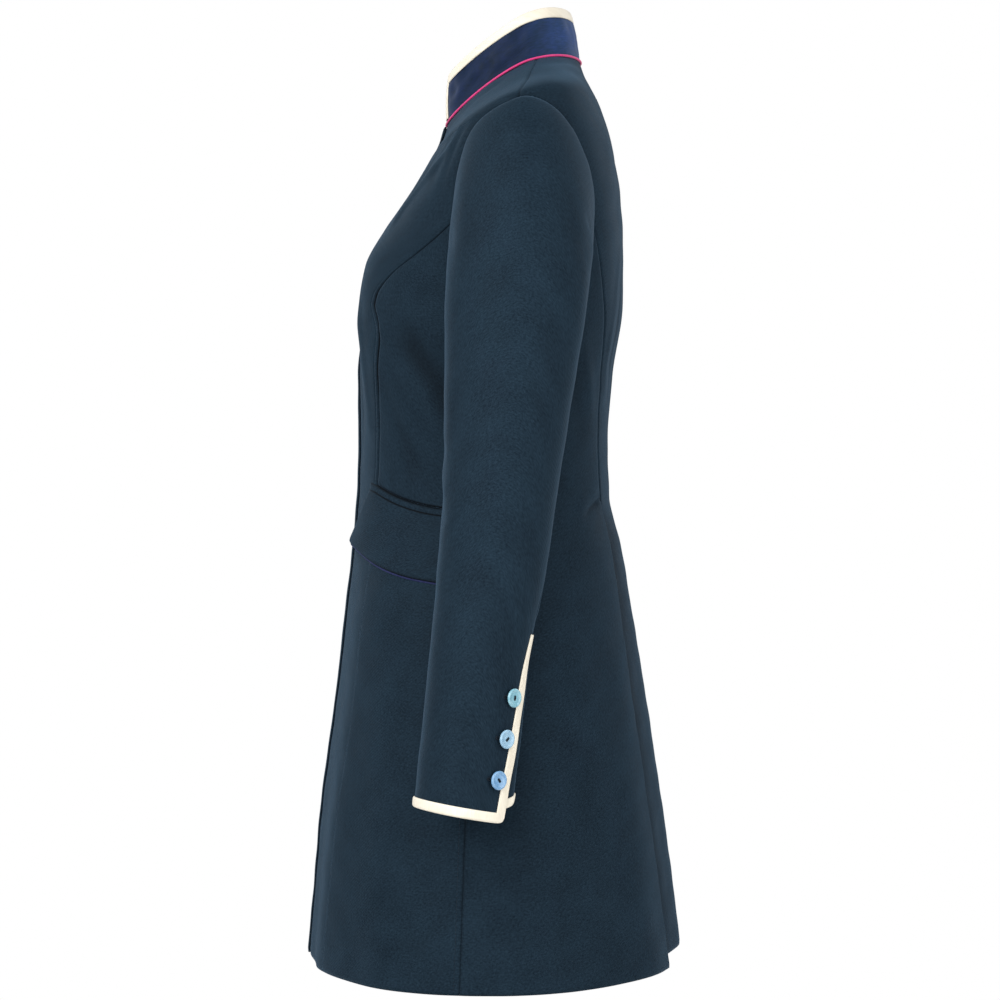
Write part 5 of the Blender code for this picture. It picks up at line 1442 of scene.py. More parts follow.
def bind_edge(name, edge, inside, outward, seed):
    """A binding folded round an edge. Edge and inside are (points, normals) at the edge and one width in."""
    wobble = np.random.default_rng(seed).normal(size=len(edge[0]) + BINDING_WAVER_SPAN - 1)
    kernel = np.hanning(BINDING_WAVER_SPAN) / np.hanning(BINDING_WAVER_SPAN).sum()
    waver = 1 + BINDING_WAVER * np.convolve(wobble, kernel, "valid")
    half = CLOTH / 2
    edge_middle = edge[0] + edge[1] * half
    inside_middle = inside[0] + inside[1] * half
    away = unit(edge_middle - inside_middle)
    leaf = []
    for share, up in zip(BINDING_SHARES, BINDING_RISE):
        middle = edge_middle + (inside_middle - edge_middle) * share
        normal = unit(edge[1] + (inside[1] - edge[1]) * share)
        leaf.append((middle, normal, half + BINDING_CLEARANCE + BINDING_PUFF * up * waver))
    fold = []
    reach = half + BINDING_PUFF
    for turn in np.radians(BINDING_FOLD_TURNS):
        out = away * math.cos(turn) * reach * BINDING_FOLD_FLATTER
        fold.append(edge_middle + out + edge[1] * math.sin(turn) * reach)
    outer = [middle + normal * lift[:, None] for middle, normal, lift in leaf]
    inner = [middle - normal * lift[:, None] for middle, normal, lift in leaf[::-1]]
    grid = np.stack(outer + fold + inner)
    return cloth_sheet(name, grid, cream_satin, BINDING_CLOTH, outward)


def make_collar_binding():
    """The collar's binding: up one front edge, round the top and down the other."""
    bound_up = 1.0 - BINDING_WIDTH / COLLAR_HEIGHT
    bound_end = angle_at(COLLAR_END + BINDING_WIDTH, 0.0)
    front_ups = np.concatenate([np.linspace(BINDING_FRONT_FOOT, 0.93, 26), [0.96, 0.985]])
    other_end = 360.0 - collar_end
    between = np.linspace(collar_end + 0.5, other_end - 0.5, BINDING_POINTS)
    angles = np.concatenate([[collar_end], between, [other_end]])
    up_front = np.ones(len(front_ups))
    edge_angles = np.concatenate([up_front * collar_end, angles, up_front * other_end])
    edge_ups = np.concatenate([front_ups, np.ones(len(angles)), front_ups[::-1]])
    inside_angles = np.clip(edge_angles, bound_end, 360.0 - bound_end)
    inside_ups = np.minimum(edge_ups, bound_up)
    edge = (collar_point(edge_angles, edge_ups), collar_normal(edge_angles, edge_ups))
    inside = (collar_point(inside_angles, inside_ups), collar_normal(inside_angles, inside_ups))
    piece = bind_edge("collar_binding_strip", edge, inside, -1, 31)
    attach(piece, "root")
    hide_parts("collar_binding")


make_collar_binding()


# ------------------------------------------------------------------------------
# Top sleeves. The larger, outer half of each two-piece sleeve, from the fore seam round to the hind seam. Its
# head is eased into the armhole over a thin wadding, and its hind edge is left open below as the cuff vent.

ARMHOLE_CLEARANCE = 0.0009
SLEEVE_HEAD_FOOT = -0.250
CUFF = -0.676
CUFF_TILT_OUT = 0.05
CUFF_TILT_BACK = 0.18
VENT_TOP = -0.521
SleeveRing = namedtuple("SleeveRing", "level x y half_x half_y")
SLEEVE_RINGS = (
    SleeveRing(SLEEVE_HEAD_FOOT, 0.2220, 0.0020, 0.0470, 0.0590),
    SleeveRing(-0.328, 0.2290, -0.0045, 0.0460, 0.0530),
    SleeveRing(-0.403, 0.2370, -0.0110, 0.0450, 0.0475),
    SleeveRing(-0.475, 0.2445, -0.0185, 0.0440, 0.0440),
    SleeveRing(-0.540, 0.2515, -0.0280, 0.0420, 0.0405),
    SleeveRing(-0.600, 0.2580, -0.0343, 0.0410, 0.0401),
    SleeveRing(CUFF, 0.2660, -0.0431, 0.0400, 0.0386),
)
SLEEVE_HEAD_OUT = 0.034
SLEEVE_HEAD_LEAN = (6.0, 0.0, -1.1)
SLEEVE_UNDERARM_OUT = 0.010
SLEEVE_HEAD_DROP = 0.085
SLEEVE_UNDERARM_DROP = 0.012
FORE_SEAM_TURN = -128.0
HIND_SEAM = (
    SeamPoint(SLEEVE_HEAD_FOOT, 96.0),
    SeamPoint(-0.450, 90.0),
    SeamPoint(VENT_TOP, 76.0),
    SeamPoint(CUFF, 57.0),
)
SLEEVE_HEAD_PRESS = Press(0.0011, 0.0013, 0.9)
FORE_SEAM_PRESS = Press(0.0013, 0.0013, 0.6)
HIND_SEAM_PRESS = Press(0.0014, 0.0013, 0.7)
SLEEVE_SAMPLES = 121
SLEEVE_HEAD_ROWS = 52
SLEEVE_RIPPLE = 0.9
VENT_SEWN = 0.008
HEAD_ROWS = (0.0, 0.004, 0.009, 0.016, 0.026, 0.038, 0.052, 0.068, 0.086, 0.106)
SLEEVE_SINK = 0.012
SLEEVE_CREASES = (
    Crease(-0.0010, 0.0090, ((53, 0.632), (41.5, 0.704), (27.5, 0.778))),
    Crease(-0.0009, 0.0085, ((69.5, 0.788), (49, 0.854), (34.5, 0.882))),
    Crease(0.0008, 0.0110, ((-64, 0.97), (-64, 1.25), (-65, 1.55), (-66, 1.83))),
    Crease(-0.0009, 0.0120, ((-40, 0.80), (-46, 1.10), (-50, 1.40))),
    Crease(0.0009, 0.0090, ((-58, 0.30), (-50, 0.52), (-46, 0.74))),
    Crease(-0.0010, 0.0080, ((-80, 0.42), (-70, 0.62), (-66, 0.84))),
    Crease(-0.0009, 0.0080, ((84, 0.36), (74, 0.50), (64, 0.60))),
    Crease(0.0008, 0.0090, ((92, 0.52), (80, 0.66), (66, 0.74))),
    Crease(-0.0010, 0.0080, ((-96, 1.36), (-78, 1.42), (-58, 1.45))),
    Crease(0.0008, 0.0070, ((-98, 1.30), (-80, 1.36), (-62, 1.38))),
    Crease(-0.0008, 0.0070, ((-100, 1.24), (-84, 1.29), (-70, 1.31))),
    Crease(-0.0011, 0.0090, ((150, 0.62), (140, 0.86), (128, 1.06))),
    Crease(0.0009, 0.0090, ((165, 0.86), (152, 1.04), (140, 1.22))),
    Crease(-0.0010, 0.0080, ((205, 1.26), (190, 1.33), (172, 1.37))),
    Crease(-0.0010, 0.0075, ((210, 1.40), (192, 1.44), (176, 1.50))),
    Crease(0.0008, 0.0080, ((112, 1.20), (116, 1.40), (118, 1.60))),
)


def sleeve_ring(turn, level):
    """Point on the inside of the left sleeve below its head: turn 0 outside, 90 at the back."""
    out = np.cos(np.radians(turn))
    back = np.sin(np.radians(turn))
    x_off = read_table(SLEEVE_RINGS, "half_x", level) * out
    y_off = read_table(SLEEVE_RINGS, "half_y", level) * back
    tilt = smooth_step(-np.asarray(level, dtype=float), -SLEEVE_HEAD_FOOT, -CUFF)
    z = level + tilt * (CUFF_TILT_OUT * x_off - CUFF_TILT_BACK * y_off)
    x = read_table(SLEEVE_RINGS, "x", level) + x_off
    y = read_table(SLEEVE_RINGS, "y", level) + y_off
    return np.stack(np.broadcast_arrays(x, y, z), axis=-1)


def sleeve_level(down):
    """The level of a down value below the sleeve's head, where down is 1, to the cuff, where it is 2."""
    below_head = np.clip(np.asarray(down, dtype=float) - 1.0, 0.0, 1.0)
    return SLEEVE_HEAD_FOOT + (CUFF - SLEEVE_HEAD_FOOT) * below_head


def sleeve_down(level):
    """The sleeve's down value at a level below its head."""
    return 1.0 + (SLEEVE_HEAD_FOOT - level) / (SLEEVE_HEAD_FOOT - CUFF)


def sleeve(turn, down):
    """Point on the inside of the left sleeve: down 0 at the armhole, 1 below the head, 2 at the cuff."""
    turn, down = np.broadcast_arrays(np.asarray(turn, dtype=float), np.asarray(down, dtype=float))
    seam_angle, seam_level = armhole(turn)
    out = body_normal(seam_angle, seam_level)
    start = body(seam_angle, seam_level) + out * (CLOTH + ARMHOLE_CLEARANCE)
    lean = unit(out + np.array(SLEEVE_HEAD_LEAN))
    end = sleeve_ring(turn, SLEEVE_HEAD_FOOT)
    step = 0.002
    slope = (end - sleeve_ring(turn, SLEEVE_HEAD_FOOT - step)) / step
    top = (0.5 + 0.5 * np.cos(np.radians(turn)))[..., None] ** 2
    out_length = SLEEVE_UNDERARM_OUT + (SLEEVE_HEAD_OUT - SLEEVE_UNDERARM_OUT) * top
    drop_length = SLEEVE_UNDERARM_DROP + (SLEEVE_HEAD_DROP - SLEEVE_UNDERARM_DROP) * top
    t = np.clip(down, 0.0, 1.0)[..., None]
    head = (
        start * (1 - t) ** 3
        + 3 * (start + lean * out_length) * t * (1 - t) ** 2
        + 3 * (end + slope * drop_length) * t**2 * (1 - t)
        + end * t**3
    )
    return np.where(down[..., None] < 1.0, head, sleeve_ring(turn, sleeve_level(down)))


def sleeve_normal(turn, down):
    """Outward direction of the sleeve's cloth."""
    step = 0.004
    up = np.clip(down - step, 0.0, 2.0)
    low = np.clip(down + step, 0.0, 2.0)
    round_sleeve = sleeve(turn + 0.5, down) - sleeve(np.asarray(turn) - 0.5, down)
    down_sleeve = sleeve(turn, low) - sleeve(turn, up)
    return unit(np.cross(down_sleeve, round_sleeve))


def hind_seam(down):
    """Turn of the seam at the back of the sleeve."""
    return read_table(HIND_SEAM, "angle", sleeve_level(down))


def worn_sleeve(turn, down):
    """Point and outward direction on the inside of the left sleeve, set down into the armhole at its top."""
    points = sleeve(turn, down)
    normals = sleeve_normal(turn, down)
    seam_angle, seam_level = armhole(turn)
    seam = body(seam_angle, seam_level)
    out = body_normal(seam_angle, seam_level)
    sunk = 1 - smooth_step(np.linalg.norm(points - seam, axis=-1), CLOTH, SLEEVE_SINK)
    sunk = sunk * (np.asarray(down) < 1.0)
    points = points - (out * (CLOTH + ARMHOLE_CLEARANCE) + normals * CLOTH) * sunk[..., None]
    return points, normals


sleeve_crease_lines = crease_lines(SLEEVE_CREASES, sleeve, 47)


def sleeve_rows():
    """Down values of a sleeve's rows, close together at the armhole and exact at the top of the vent."""
    head = np.concatenate([HEAD_ROWS, np.linspace(HEAD_ROWS[-1], 1.0, SLEEVE_HEAD_ROWS)[1:]])
    vent = sleeve_down(VENT_TOP)
    arm = np.linspace(1.0, vent, int((SLEEVE_HEAD_FOOT - VENT_TOP) / GRID_STEP) + 1)[1:]
    cuff = np.linspace(vent, 2.0, int((VENT_TOP - CUFF) / GRID_STEP) + 1)[1:]
    return np.concatenate([head, arm, cuff])


def sleeve_grid(first, last):
    """Turns and downs of a half sleeve between two seams, whose turns are given for every row."""
    return space_columns(panel_samples(first, last, sleeve_rows(), SLEEVE_SAMPLES), sleeve)


def sleeve_relief(base, side):
    """How far the worn cloth of a sleeve stands out of its smooth form."""
    world = mirrored(base, side)
    return crease_height(world, sleeve_crease_lines) + ripples(world * SLEEVE_RIPPLE) * SLEEVE_RIPPLE


def make_top_sleeve(side_name, side):
    """The top sleeve of one side."""
    downs = sleeve_rows()
    grid = sleeve_grid(np.full(len(downs), FORE_SEAM_TURN), hind_seam(downs))
    base, normal = worn_sleeve(grid[..., 0], grid[..., 1])
    from_left, from_right, from_top, _ = edge_distances(base)
    in_vent = smooth_step(-sleeve_level(downs), -VENT_TOP - VENT_SEWN, -VENT_TOP)[:, None]
    roll = seam_roll(from_top, SLEEVE_HEAD_PRESS) + seam_roll(from_left, FORE_SEAM_PRESS)
    roll += seam_roll(from_right, HIND_SEAM_PRESS) * (1 - in_vent)
    lift = sleeve_relief(base, side) - roll
    points = base + normal * lift[..., None]
    shade = seam_shade(
        (from_top, SLEEVE_HEAD_PRESS), (from_left, FORE_SEAM_PRESS), (from_right + in_vent, HIND_SEAM_PRESS)
    )
    return side_panel(f"top_sleeve_{side_name}_cloth", points, side, shade)


for side_name, side in SIDES:
    top_sleeve = make_top_sleeve(side_name, side)
    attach(top_sleeve, "root")
    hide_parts(f"top_sleeve_{side_name}")


# ------------------------------------------------------------------------------
# Under sleeves. The narrower inner half, from the hind seam round under the arm to the fore seam. Below the
# top of the vent its edge runs on under the top sleeve as the underlap. Its cuff is bound with cream satin.

VENT_UNDERLAP = 16.0
VENT_UNDERLAP_CURVE = 0.014
VENT_STEP = 0.0050
VENT_STEP_FADE = (3.0, 24.0)
VENT_LAP_TOP = 0.503
UNDER_CUFF_RISE = 0.0175
UNDER_CUFF_FADE = 0.075
UNDER_CUFF_TURNS = (-VENT_UNDERLAP, 0.0, 33.0, 70.0, 150.0)
UNDER_CUFF_SHORTER = (0.35, 0.50, 1.0, 0.8, 0.0)
CUFF_BINDING_WIDTH = 0.0062
# The binding ends just short of the fore seam
UNDER_CUFF_BOUND = slice(0, -3)


def make_under_sleeve(side_name, side):
    """The under sleeve of one side, with the points and directions of its cloth for the binding."""
    downs = sleeve_rows()
    levels = -sleeve_level(downs)
    hind = hind_seam(downs)
    first = hind - VENT_UNDERLAP * smooth_step(levels, -VENT_TOP, -VENT_TOP + VENT_UNDERLAP_CURVE)
    grid = sleeve_grid(first, np.full(len(downs), 360.0 + FORE_SEAM_TURN))
    past_seam = grid[..., 0] - hind[:, None]
    shorter = np.interp(past_seam, UNDER_CUFF_TURNS, UNDER_CUFF_SHORTER)
    shorter *= smooth_step(levels, -CUFF - UNDER_CUFF_FADE, -CUFF)[:, None]
    grid[..., 1] -= (sleeve_down(-UNDER_CUFF_RISE) - sleeve_down(0.0)) * shorter
    base, normal = worn_sleeve(grid[..., 0], grid[..., 1])
    from_left, from_right, from_top, _ = edge_distances(base)
    lapped = smooth_step(levels, VENT_LAP_TOP, -VENT_TOP)[:, None]
    step_in = VENT_STEP * lapped * (1 - smooth_step(past_seam, *VENT_STEP_FADE))
    roll = seam_roll(from_top, SLEEVE_HEAD_PRESS) + seam_roll(from_right, FORE_SEAM_PRESS)
    roll += seam_roll(from_left, HIND_SEAM_PRESS) * (1 - lapped)
    lift = sleeve_relief(base, side) - roll - step_in
    points = base + normal * lift[..., None]
    shade = seam_shade(
        (from_top, SLEEVE_HEAD_PRESS), (from_right, FORE_SEAM_PRESS), (from_left + lapped, HIND_SEAM_PRESS)
    )
    piece = side_panel(f"under_sleeve_{side_name}_cloth", points, side, shade)
    return piece, points, normal


def make_under_cuff_binding(side_name, side, points, normals):
    """The binding of the under sleeve's cuff."""
    inner_row = len(points) - 1 - int(round(BINDING_WIDTH / GRID_STEP))
    run = np.linalg.norm(points[-1] - points[inner_row], axis=-1)
    inside = points[-1] + (points[inner_row] - points[-1]) * (CUFF_BINDING_WIDTH / run)[:, None]
    bound = UNDER_CUFF_BOUND
    edge = (mirrored(points[-1, bound], side), mirrored(normals[-1, bound], side))
    inner = (mirrored(inside[bound], side), mirrored(normals[inner_row, bound], side))
    strip = bind_edge(f"under_cuff_binding_{side_name}_strip", edge, inner, side, 57 + side)
    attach(strip, "root")
    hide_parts(f"under_cuff_binding_{side_name}")


for side_name, side in SIDES:
    under_sleeve, inner_points, inner_normals = make_under_sleeve(side_name, side)
    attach(under_sleeve, "root")
    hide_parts(f"under_sleeve_{side_name}")
    make_under_cuff_binding(side_name, side, inner_points, inner_normals)


# ------------------------------------------------------------------------------
# Cuff bindings. Bias strips of cream satin folded round the top sleeve's cuff and on up the edge of its vent.
# Each rounds the corner between the two and grows narrower towards the top of the vent.

VENT_CORNER = 0.0040
VENT_BINDING_WIDTH = 0.0092
VENT_BINDING_TOP_WIDTH = 0.0048
VENT_BINDING_FULL = 0.045
VENT_BINDING_SHORT = 0.0010
CUFF_BINDING_SHORT = 0.0008
CUFF_BINDING_POINTS = 60


def cuff_place(from_vent, above_cuff):
    """Turn and down of a point of the top sleeve, by its distances from the vent edge and above the cuff."""
    level = CUFF + np.asarray(above_cuff, dtype=float)
    down = sleeve_down(level)
    radius = read_table(SLEEVE_RINGS, "half_x", level) + CLOTH / 2
    return hind_seam(down) - np.degrees(from_vent / radius), down


def make_cuff_binding(side_name, side):
    """The binding of the top sleeve's cuff and vent edge, as one strip."""
    cuff_radius = SLEEVE_RINGS[-1].half_x + CLOTH / 2
    around_cuff = np.radians(hind_seam(2.0) - FORE_SEAM_TURN) * cuff_radius - CUFF_BINDING_SHORT
    corner_turns = np.linspace(0.0, math.pi / 2, 12)[1:-1]
    vent_height = VENT_TOP - CUFF - VENT_BINDING_SHORT
    along_cuff = np.linspace(around_cuff, VENT_CORNER, CUFF_BINDING_POINTS)
    up_vent = np.linspace(VENT_CORNER, vent_height - 0.004, CUFF_BINDING_POINTS)
    up_vent = np.concatenate([up_vent, [vent_height - 0.002, vent_height]])
    edge_u = np.concatenate([along_cuff, VENT_CORNER * (1 - np.sin(corner_turns)), np.zeros(len(up_vent))])
    edge_v = np.concatenate([np.zeros(len(along_cuff)), VENT_CORNER * (1 - np.cos(corner_turns)), up_vent])
    width = np.interp(
        vent_height - edge_v, (0.0, VENT_BINDING_FULL), (VENT_BINDING_TOP_WIDTH, VENT_BINDING_WIDTH)
    )
    ends = []
    for u, v in ((edge_u, edge_v), (np.maximum(edge_u, width), np.maximum(edge_v, CUFF_BINDING_WIDTH))):
        turn, down = cuff_place(u, v)
        points = sleeve(turn, down)
        normals = sleeve_normal(turn, down)
        points = points + normals * sleeve_relief(points, side)[..., None]
        ends.append((mirrored(points, side), mirrored(normals, side)))
    strip = bind_edge(f"cuff_binding_{side_name}_strip", *ends, side, 71 + side)
    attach(strip, "root")
    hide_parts(f"cuff_binding_{side_name}")


for side_name, side in SIDES:
    make_cuff_binding(side_name, side)


# ------------------------------------------------------------------------------
# Buttonholes and buttons. Three worked buttonholes beside each vent and three dished two-hole buttons of dyed
# mother of pearl, each sewn on with a few turns of navy thread that lie in a bar between its holes.

BUTTON_CORNERS = 56
BUTTON_HOLE_CORNERS = 16
BUTTON_HOLE_RADIUS = 0.0010
BUTTON_HOLE_SPACING = 0.0040
BUTTON_LEVELS = (-0.575, -0.609, -0.643)
BUTTON_INSET = 0.0162
BUTTON_SPINS = (80.0, 40.0, 125.0)
BUTTON_SHANK = 0.0004
BUTTON_TONES = (
    ((0.110, 0.290, 0.370), (0.250, 0.460, 0.530)),
    ((0.150, 0.300, 0.440), (0.310, 0.480, 0.610)),
    ((0.080, 0.210, 0.400), (0.190, 0.360, 0.550)),
)
BUTTON_PROFILE = (
    (0.0000, -0.00030),
    (0.0016, -0.00030),
    (0.0030, -0.00028),
    (0.0044, -0.00022),
    (0.0053, -0.00008),
    (0.0059, 0.00022),
    (0.0064, 0.00045),
    (0.0069, 0.00050),
    (0.0074, 0.00035),
    (0.0078, 0.00000),
    (0.0080, -0.00055),
    (0.0079, -0.00120),
    (0.0074, -0.00175),
    (0.0066, -0.00205),
    (0.0050, -0.00215),
    (0.0000, -0.00215),
)
BUTTONHOLE_LENGTH = 0.0185
BUTTONHOLE_WIDTH = 0.0030
BUTTONHOLE_STITCH = 0.00042
BUTTONHOLE_STITCH_RADIUS = 0.48 * BUTTONHOLE_STITCH
BUTTONHOLE_SLIT_SHARE = 0.18
BUTTONHOLE_LIFT = 0.0001
BUTTONHOLE_ARCH = 0.0003
BUTTONHOLE_FAN_STEP = 20.0
BUTTONHOLE_SECTIONS = (0.0, 0.25, 0.75, 1.0)
BUTTONHOLE_CORNERS = 5
BUTTON_THREAD_RADIUS = 0.0004
BUTTON_THREAD_SPACING = 0.00064
BUTTON_THREAD_POINTS = 15
BUTTON_THREAD_LIFT = 0.00012
BUTTON_THREAD_ARCH = 0.00018
BUTTON_THREAD_BAR = 0.86
BUTTON_THREAD_DIP = 0.0012


def make_pearl(number, tones):
    """Dyed mother of pearl: cloudy bands of blue and green under a clear polish."""
    pearl = Nodes(f"button_pearl_{number}")
    place = pearl.place()
    cloud = pearl.noise(pearl.stretched(place, (1.0, 2.2, 1.0), 0.6 * number), 180.0, 3.0, 0.6)
    flecks = pearl.noise(place, 1400.0, 2.0)
    pearl.colour(pearl.ramp(pearl.blend((cloud, 0.8), (flecks, 0.2)), ((0.34, tones[0]), (0.66, tones[1]))))
    pearl.roughness(flecks, 0.20, 0.32)
    pearl.bump(cloud, 0.0002, 0.3)
    return pearl.finish(Coat_Weight=0.6, Coat_Roughness=0.12)


def button_mesh(number, tones):
    """A dished disc with a raised rim and two holes that go through it."""
    bm = bmesh.new()

    def circle(middle, radius, height, corners):
        turns = np.linspace(0.0, 2 * math.pi, corners, endpoint=False)
        return [bm.verts.new((middle + radius * math.cos(t), radius * math.sin(t), height)) for t in turns]

    def wall(first, second):
        for k in range(len(first)):
            after = (k + 1) % len(first)
            bm.faces.new((first[k], second[k], second[after], first[after]))

    loops = [circle(0.0, radius, height, BUTTON_CORNERS) for radius, height in BUTTON_PROFILE[1:-1]]
    for first, second in zip(loops, loops[1:]):
        wall(first, second)
    half = BUTTON_HOLE_SPACING / 2
    holes = []
    for height in (BUTTON_PROFILE[0][1], BUTTON_PROFILE[-1][1]):
        holes.append([circle(x, BUTTON_HOLE_RADIUS, height, BUTTON_HOLE_CORNERS) for x in (-half, half)])
    for top, foot in zip(*holes):
        wall(top, foot)
    # The flat middle is a plate of triangles between the innermost loop and the two holes, front and back.
    for loop, pair in zip((loops[0], loops[-1]), holes):
        edges = []
        for boundary in (loop, *pair):
            for ends in zip(boundary, boundary[1:] + boundary[:1]):
                edges.append(bm.edges.get(ends) or bm.edges.new(ends))
        bmesh.ops.triangle_fill(bm, use_beauty=True, edges=edges)
    bmesh.ops.recalc_face_normals(bm, faces=bm.faces[:])
    mesh = bpy.data.meshes.new(f"pearl_button_{number}")
    bm.to_mesh(mesh)
    bm.free()
    mesh.materials.append(make_pearl(number, tones))
    mesh.shade_smooth()
    mesh.set_sharp_from_angle(angle=math.radians(50))
    return mesh


def by_vent(level, inset):
    """Turn of the place on the left sleeve that lies the inset away from the vent at a level."""
    return hind_seam(sleeve_down(level)) - np.degrees(inset / read_table(SLEEVE_RINGS, "half_x", level))


def make_buttonhole(side_name, side, number, level):
    """A buttonhole worked in close navy stitches round a slit that points at the vent."""
    half = BUTTONHOLE_LENGTH / 2 - BUTTONHOLE_WIDTH / 2
    straight = np.arange(-half, half, BUTTONHOLE_STITCH)
    arc = np.arange(-90.0, 90.0, BUTTONHOLE_FAN_STEP)
    run_x = np.concatenate([straight, np.full(len(arc), half), straight[::-1], np.full(len(arc), -half)])
    way_turn = np.radians(
        np.concatenate([np.full(len(straight), 90.0), arc, np.full(len(straight), -90.0), arc + 180.0])
    )
    share = np.array(BUTTONHOLE_SECTIONS)[None, :, None]
    around_bar = (2 * math.pi * np.arange(BUTTONHOLE_CORNERS) / BUTTONHOLE_CORNERS)[None, None, :]
    way_x = np.cos(way_turn)[:, None, None]
    way_z = np.sin(way_turn)[:, None, None]
    reach = BUTTONHOLE_WIDTH / 2 * (BUTTONHOLE_SLIT_SHARE + (1 - BUTTONHOLE_SLIT_SHARE) * share)
    aside = np.cos(around_bar) * BUTTONHOLE_STITCH_RADIUS
    height = BUTTONHOLE_LIFT + BUTTONHOLE_ARCH * np.sin(math.pi * (0.15 + 0.75 * share))
    height = height + np.sin(around_bar) * BUTTONHOLE_STITCH_RADIUS
    spot_x = run_x[:, None, None] + way_x * reach - way_z * aside
    spot_z = way_z * reach + way_x * aside
    downs = sleeve_down(level + spot_z)
    turns = by_vent(level, BUTTON_INSET - spot_x)
    places = sleeve(turns, downs) + sleeve_normal(turns, downs) * (CLOTH + height)[..., None]
    verts = mirrored(places.reshape(-1, 3), side)
    faces = []
    for first in range(0, len(verts), len(BUTTONHOLE_SECTIONS) * BUTTONHOLE_CORNERS):
        faces += stitch_faces(first, len(BUTTONHOLE_SECTIONS), BUTTONHOLE_CORNERS)
    piece = solid_piece(f"buttonhole_{side_name}_{number}", verts, faces, sewing_thread)
    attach(piece, "root")


def make_button(side_name, side, number, mesh, level, spin):
    """A button on its seat beside the vent, with the thread that holds it."""
    down = sleeve_down(level)
    turn = by_vent(level, BUTTON_INSET)
    normal = sleeve_normal(turn, down)
    lift = BINDING_CLOTH + BINDING_PUFF + BUTTON_SHANK - BUTTON_PROFILE[-1][1]
    centre = sleeve(turn, down) + normal * (CLOTH + lift)
    button = bpy.data.objects.new(f"cuff_button_{side_name}_{number}_pearl", mesh)
    bpy.context.scene.collection.objects.link(button)
    facing = Vector(mirrored(normal, side)).to_track_quat("Z", "Y")
    button.rotation_mode = "QUATERNION"
    button.rotation_quaternion = facing @ Quaternion((0.0, 0.0, 1.0), math.radians(spin * side))
    button.location = mirrored(centre, side)
    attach(button, "root")
    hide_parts(f"cuff_button_{side_name}_{number}")
    half = BUTTON_HOLE_SPACING / 2
    at = np.linspace(-1.0, 1.0, BUTTON_THREAD_POINTS)
    dip = BUTTON_THREAD_DIP * np.clip(np.abs(at) - BUTTON_THREAD_BAR, 0.0, 1.0) / (1 - BUTTON_THREAD_BAR)
    arch = BUTTON_THREAD_LIFT + BUTTON_THREAD_ARCH * (1 - at**2) - dip
    for strand, aside in enumerate((-BUTTON_THREAD_SPACING, 0.0, BUTTON_THREAD_SPACING)):
        line = np.stack([at * half, np.full(len(at), aside), BUTTON_PROFILE[0][1] + arch], axis=-1)
        turned = [tuple(button.rotation_quaternion @ Vector(p) + button.location) for p in line]
        name = f"button_thread_{side_name}_{number}_{strand}"
        piping_tube(name, np.array(turned), BUTTON_THREAD_RADIUS, sewing_thread, ring=6)


button_meshes = [button_mesh(number, tones) for number, tones in enumerate(BUTTON_TONES, start=1)]
for side_name, side in SIDES:
    for number, (level, spin, mesh) in enumerate(zip(BUTTON_LEVELS, BUTTON_SPINS, button_meshes), start=1):
        make_buttonhole(side_name, side, number, level)
        make_button(side_name, side, number, mesh, level, spin)


# ------------------------------------------------------------------------------
# Floor, light and camera. A white studio floor under the hung coat, five large soft lights round it and a
# small one close to the left sleeve, and a long lens level with the waist at the coat's left side.

FLOOR_LEVEL = -1.40
FLOOR_RADIUS = 2.3
FLOOR_CORNERS = 96
CAMERA_PLACE = (2.5, -0.0113, -0.4135)
CAMERA_LENS = 95.76
WORLD_LIGHT = 0.32
SOFTBOX = (1.8, 2.2)
SLEEVE_SOFTBOX = (0.25, 0.7)
COAT_MIDDLE = (0.0, 0.0, -0.35)
SLEEVE_MIDDLE = (0.27, 0.0, -0.33)


def make_floor():
    """A round sheet of matt white paper."""
    paper = Nodes("white_paper")
    tone = paper.noise(paper.place(), 3.0)
    paper.colour(paper.ramp(tone, ((0.3, (0.90, 0.90, 0.90)), (0.7, (0.94, 0.94, 0.94)))))
    turns = np.linspace(0.0, 2 * math.pi, FLOOR_CORNERS, endpoint=False)
    rim = [(FLOOR_RADIUS * math.cos(t), FLOOR_RADIUS * math.sin(t), FLOOR_LEVEL) for t in turns]
    floor = solid_piece("studio_floor", rim, [tuple(range(FLOOR_CORNERS))], paper.finish(Roughness=0.9))


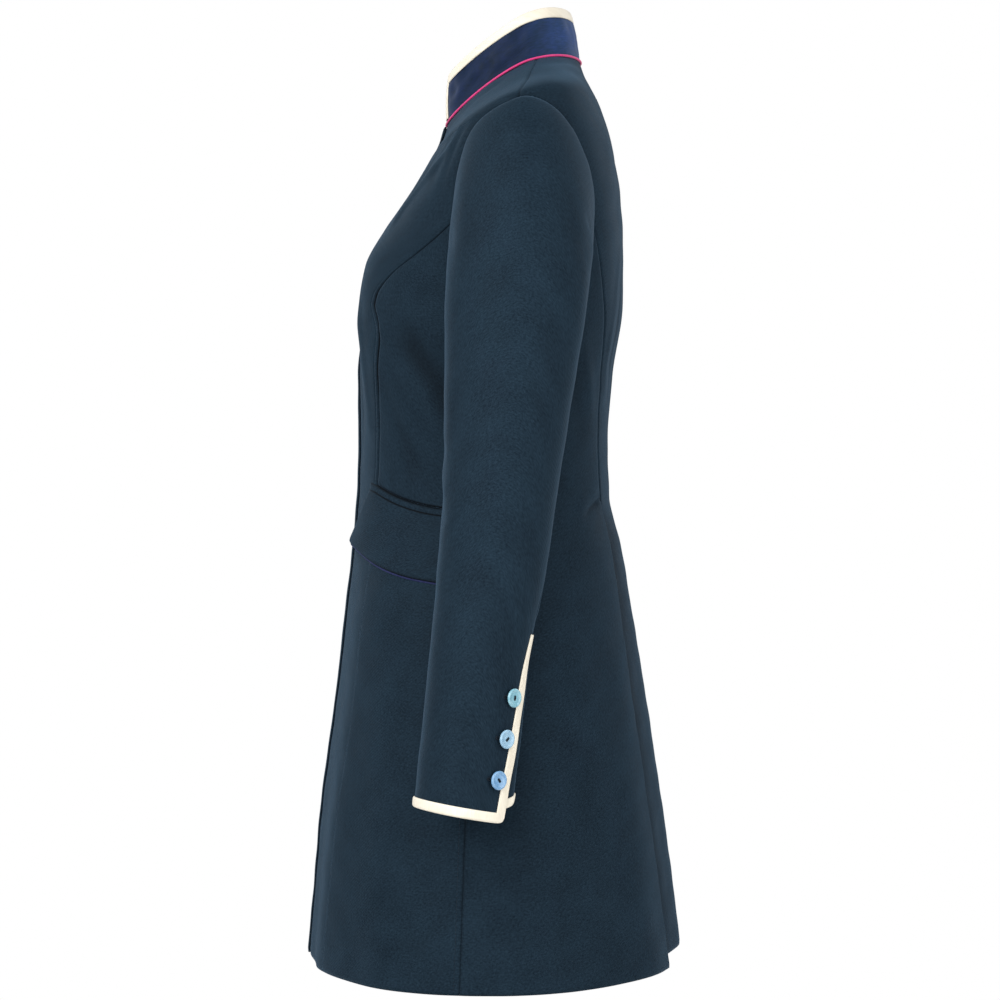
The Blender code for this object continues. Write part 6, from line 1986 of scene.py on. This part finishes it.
def add_softbox(name, place, target, size, power):
    """A soft light, turned towards its target."""
    lamp = bpy.data.lights.new(name, "AREA")
    lamp.shape = "RECTANGLE"
    lamp.size, lamp.size_y = size
    lamp.energy = power
    light = bpy.data.objects.new(name, lamp)
    bpy.context.scene.collection.objects.link(light)
    light.location = place
    facing = Vector(target) - Vector(place)
    light.rotation_euler = facing.to_track_quat("-Z", "Y").to_euler()
    light.visible_camera = False


make_floor()
add_softbox("front_softbox", (1.6, -1.8, 1.0), COAT_MIDDLE, SOFTBOX, 79.0)
add_softbox("back_softbox", (1.6, 1.8, -0.3), COAT_MIDDLE, SOFTBOX, 28.0)
add_softbox("high_back_softbox", (1.2, 1.6, 1.2), COAT_MIDDLE, SOFTBOX, 17.0)
add_softbox("far_front_softbox", (-1.6, -1.8, 0.6), COAT_MIDDLE, SOFTBOX, 14.0)
add_softbox("far_back_softbox", (-1.6, 1.8, 0.6), COAT_MIDDLE, SOFTBOX, 14.0)
add_softbox("sleeve_softbox", (0.85, -0.05, -0.25), SLEEVE_MIDDLE, SLEEVE_SOFTBOX, 2.3)

world = bpy.data.worlds.new("studio")
bpy.context.scene.world = world
world.use_nodes = True
sky = world.node_tree.nodes["Background"]
sky.inputs["Color"].default_value = (1.0, 1.0, 1.0, 1.0)
rays = world.node_tree.nodes.new("ShaderNodeLightPath")
strength = world.node_tree.nodes.new("ShaderNodeMapRange")
world.node_tree.links.new(rays.outputs["Is Camera Ray"], strength.inputs["Value"])
strength.inputs["To Min"].default_value = WORLD_LIGHT
strength.inputs["To Max"].default_value = 1.0
world.node_tree.links.new(strength.outputs["Result"], sky.inputs["Strength"])

lens = bpy.data.cameras.new("camera")
lens.lens = CAMERA_LENS
lens.sensor_width = 36.0
camera = bpy.data.objects.new("camera", lens)
bpy.context.scene.collection.objects.link(camera)
camera.location = CAMERA_PLACE
camera.rotation_euler = (math.radians(90.0), 0.0, math.radians(90.0))
bpy.context.scene.camera = camera
bpy.context.scene.view_settings.view_transform = "Standard"
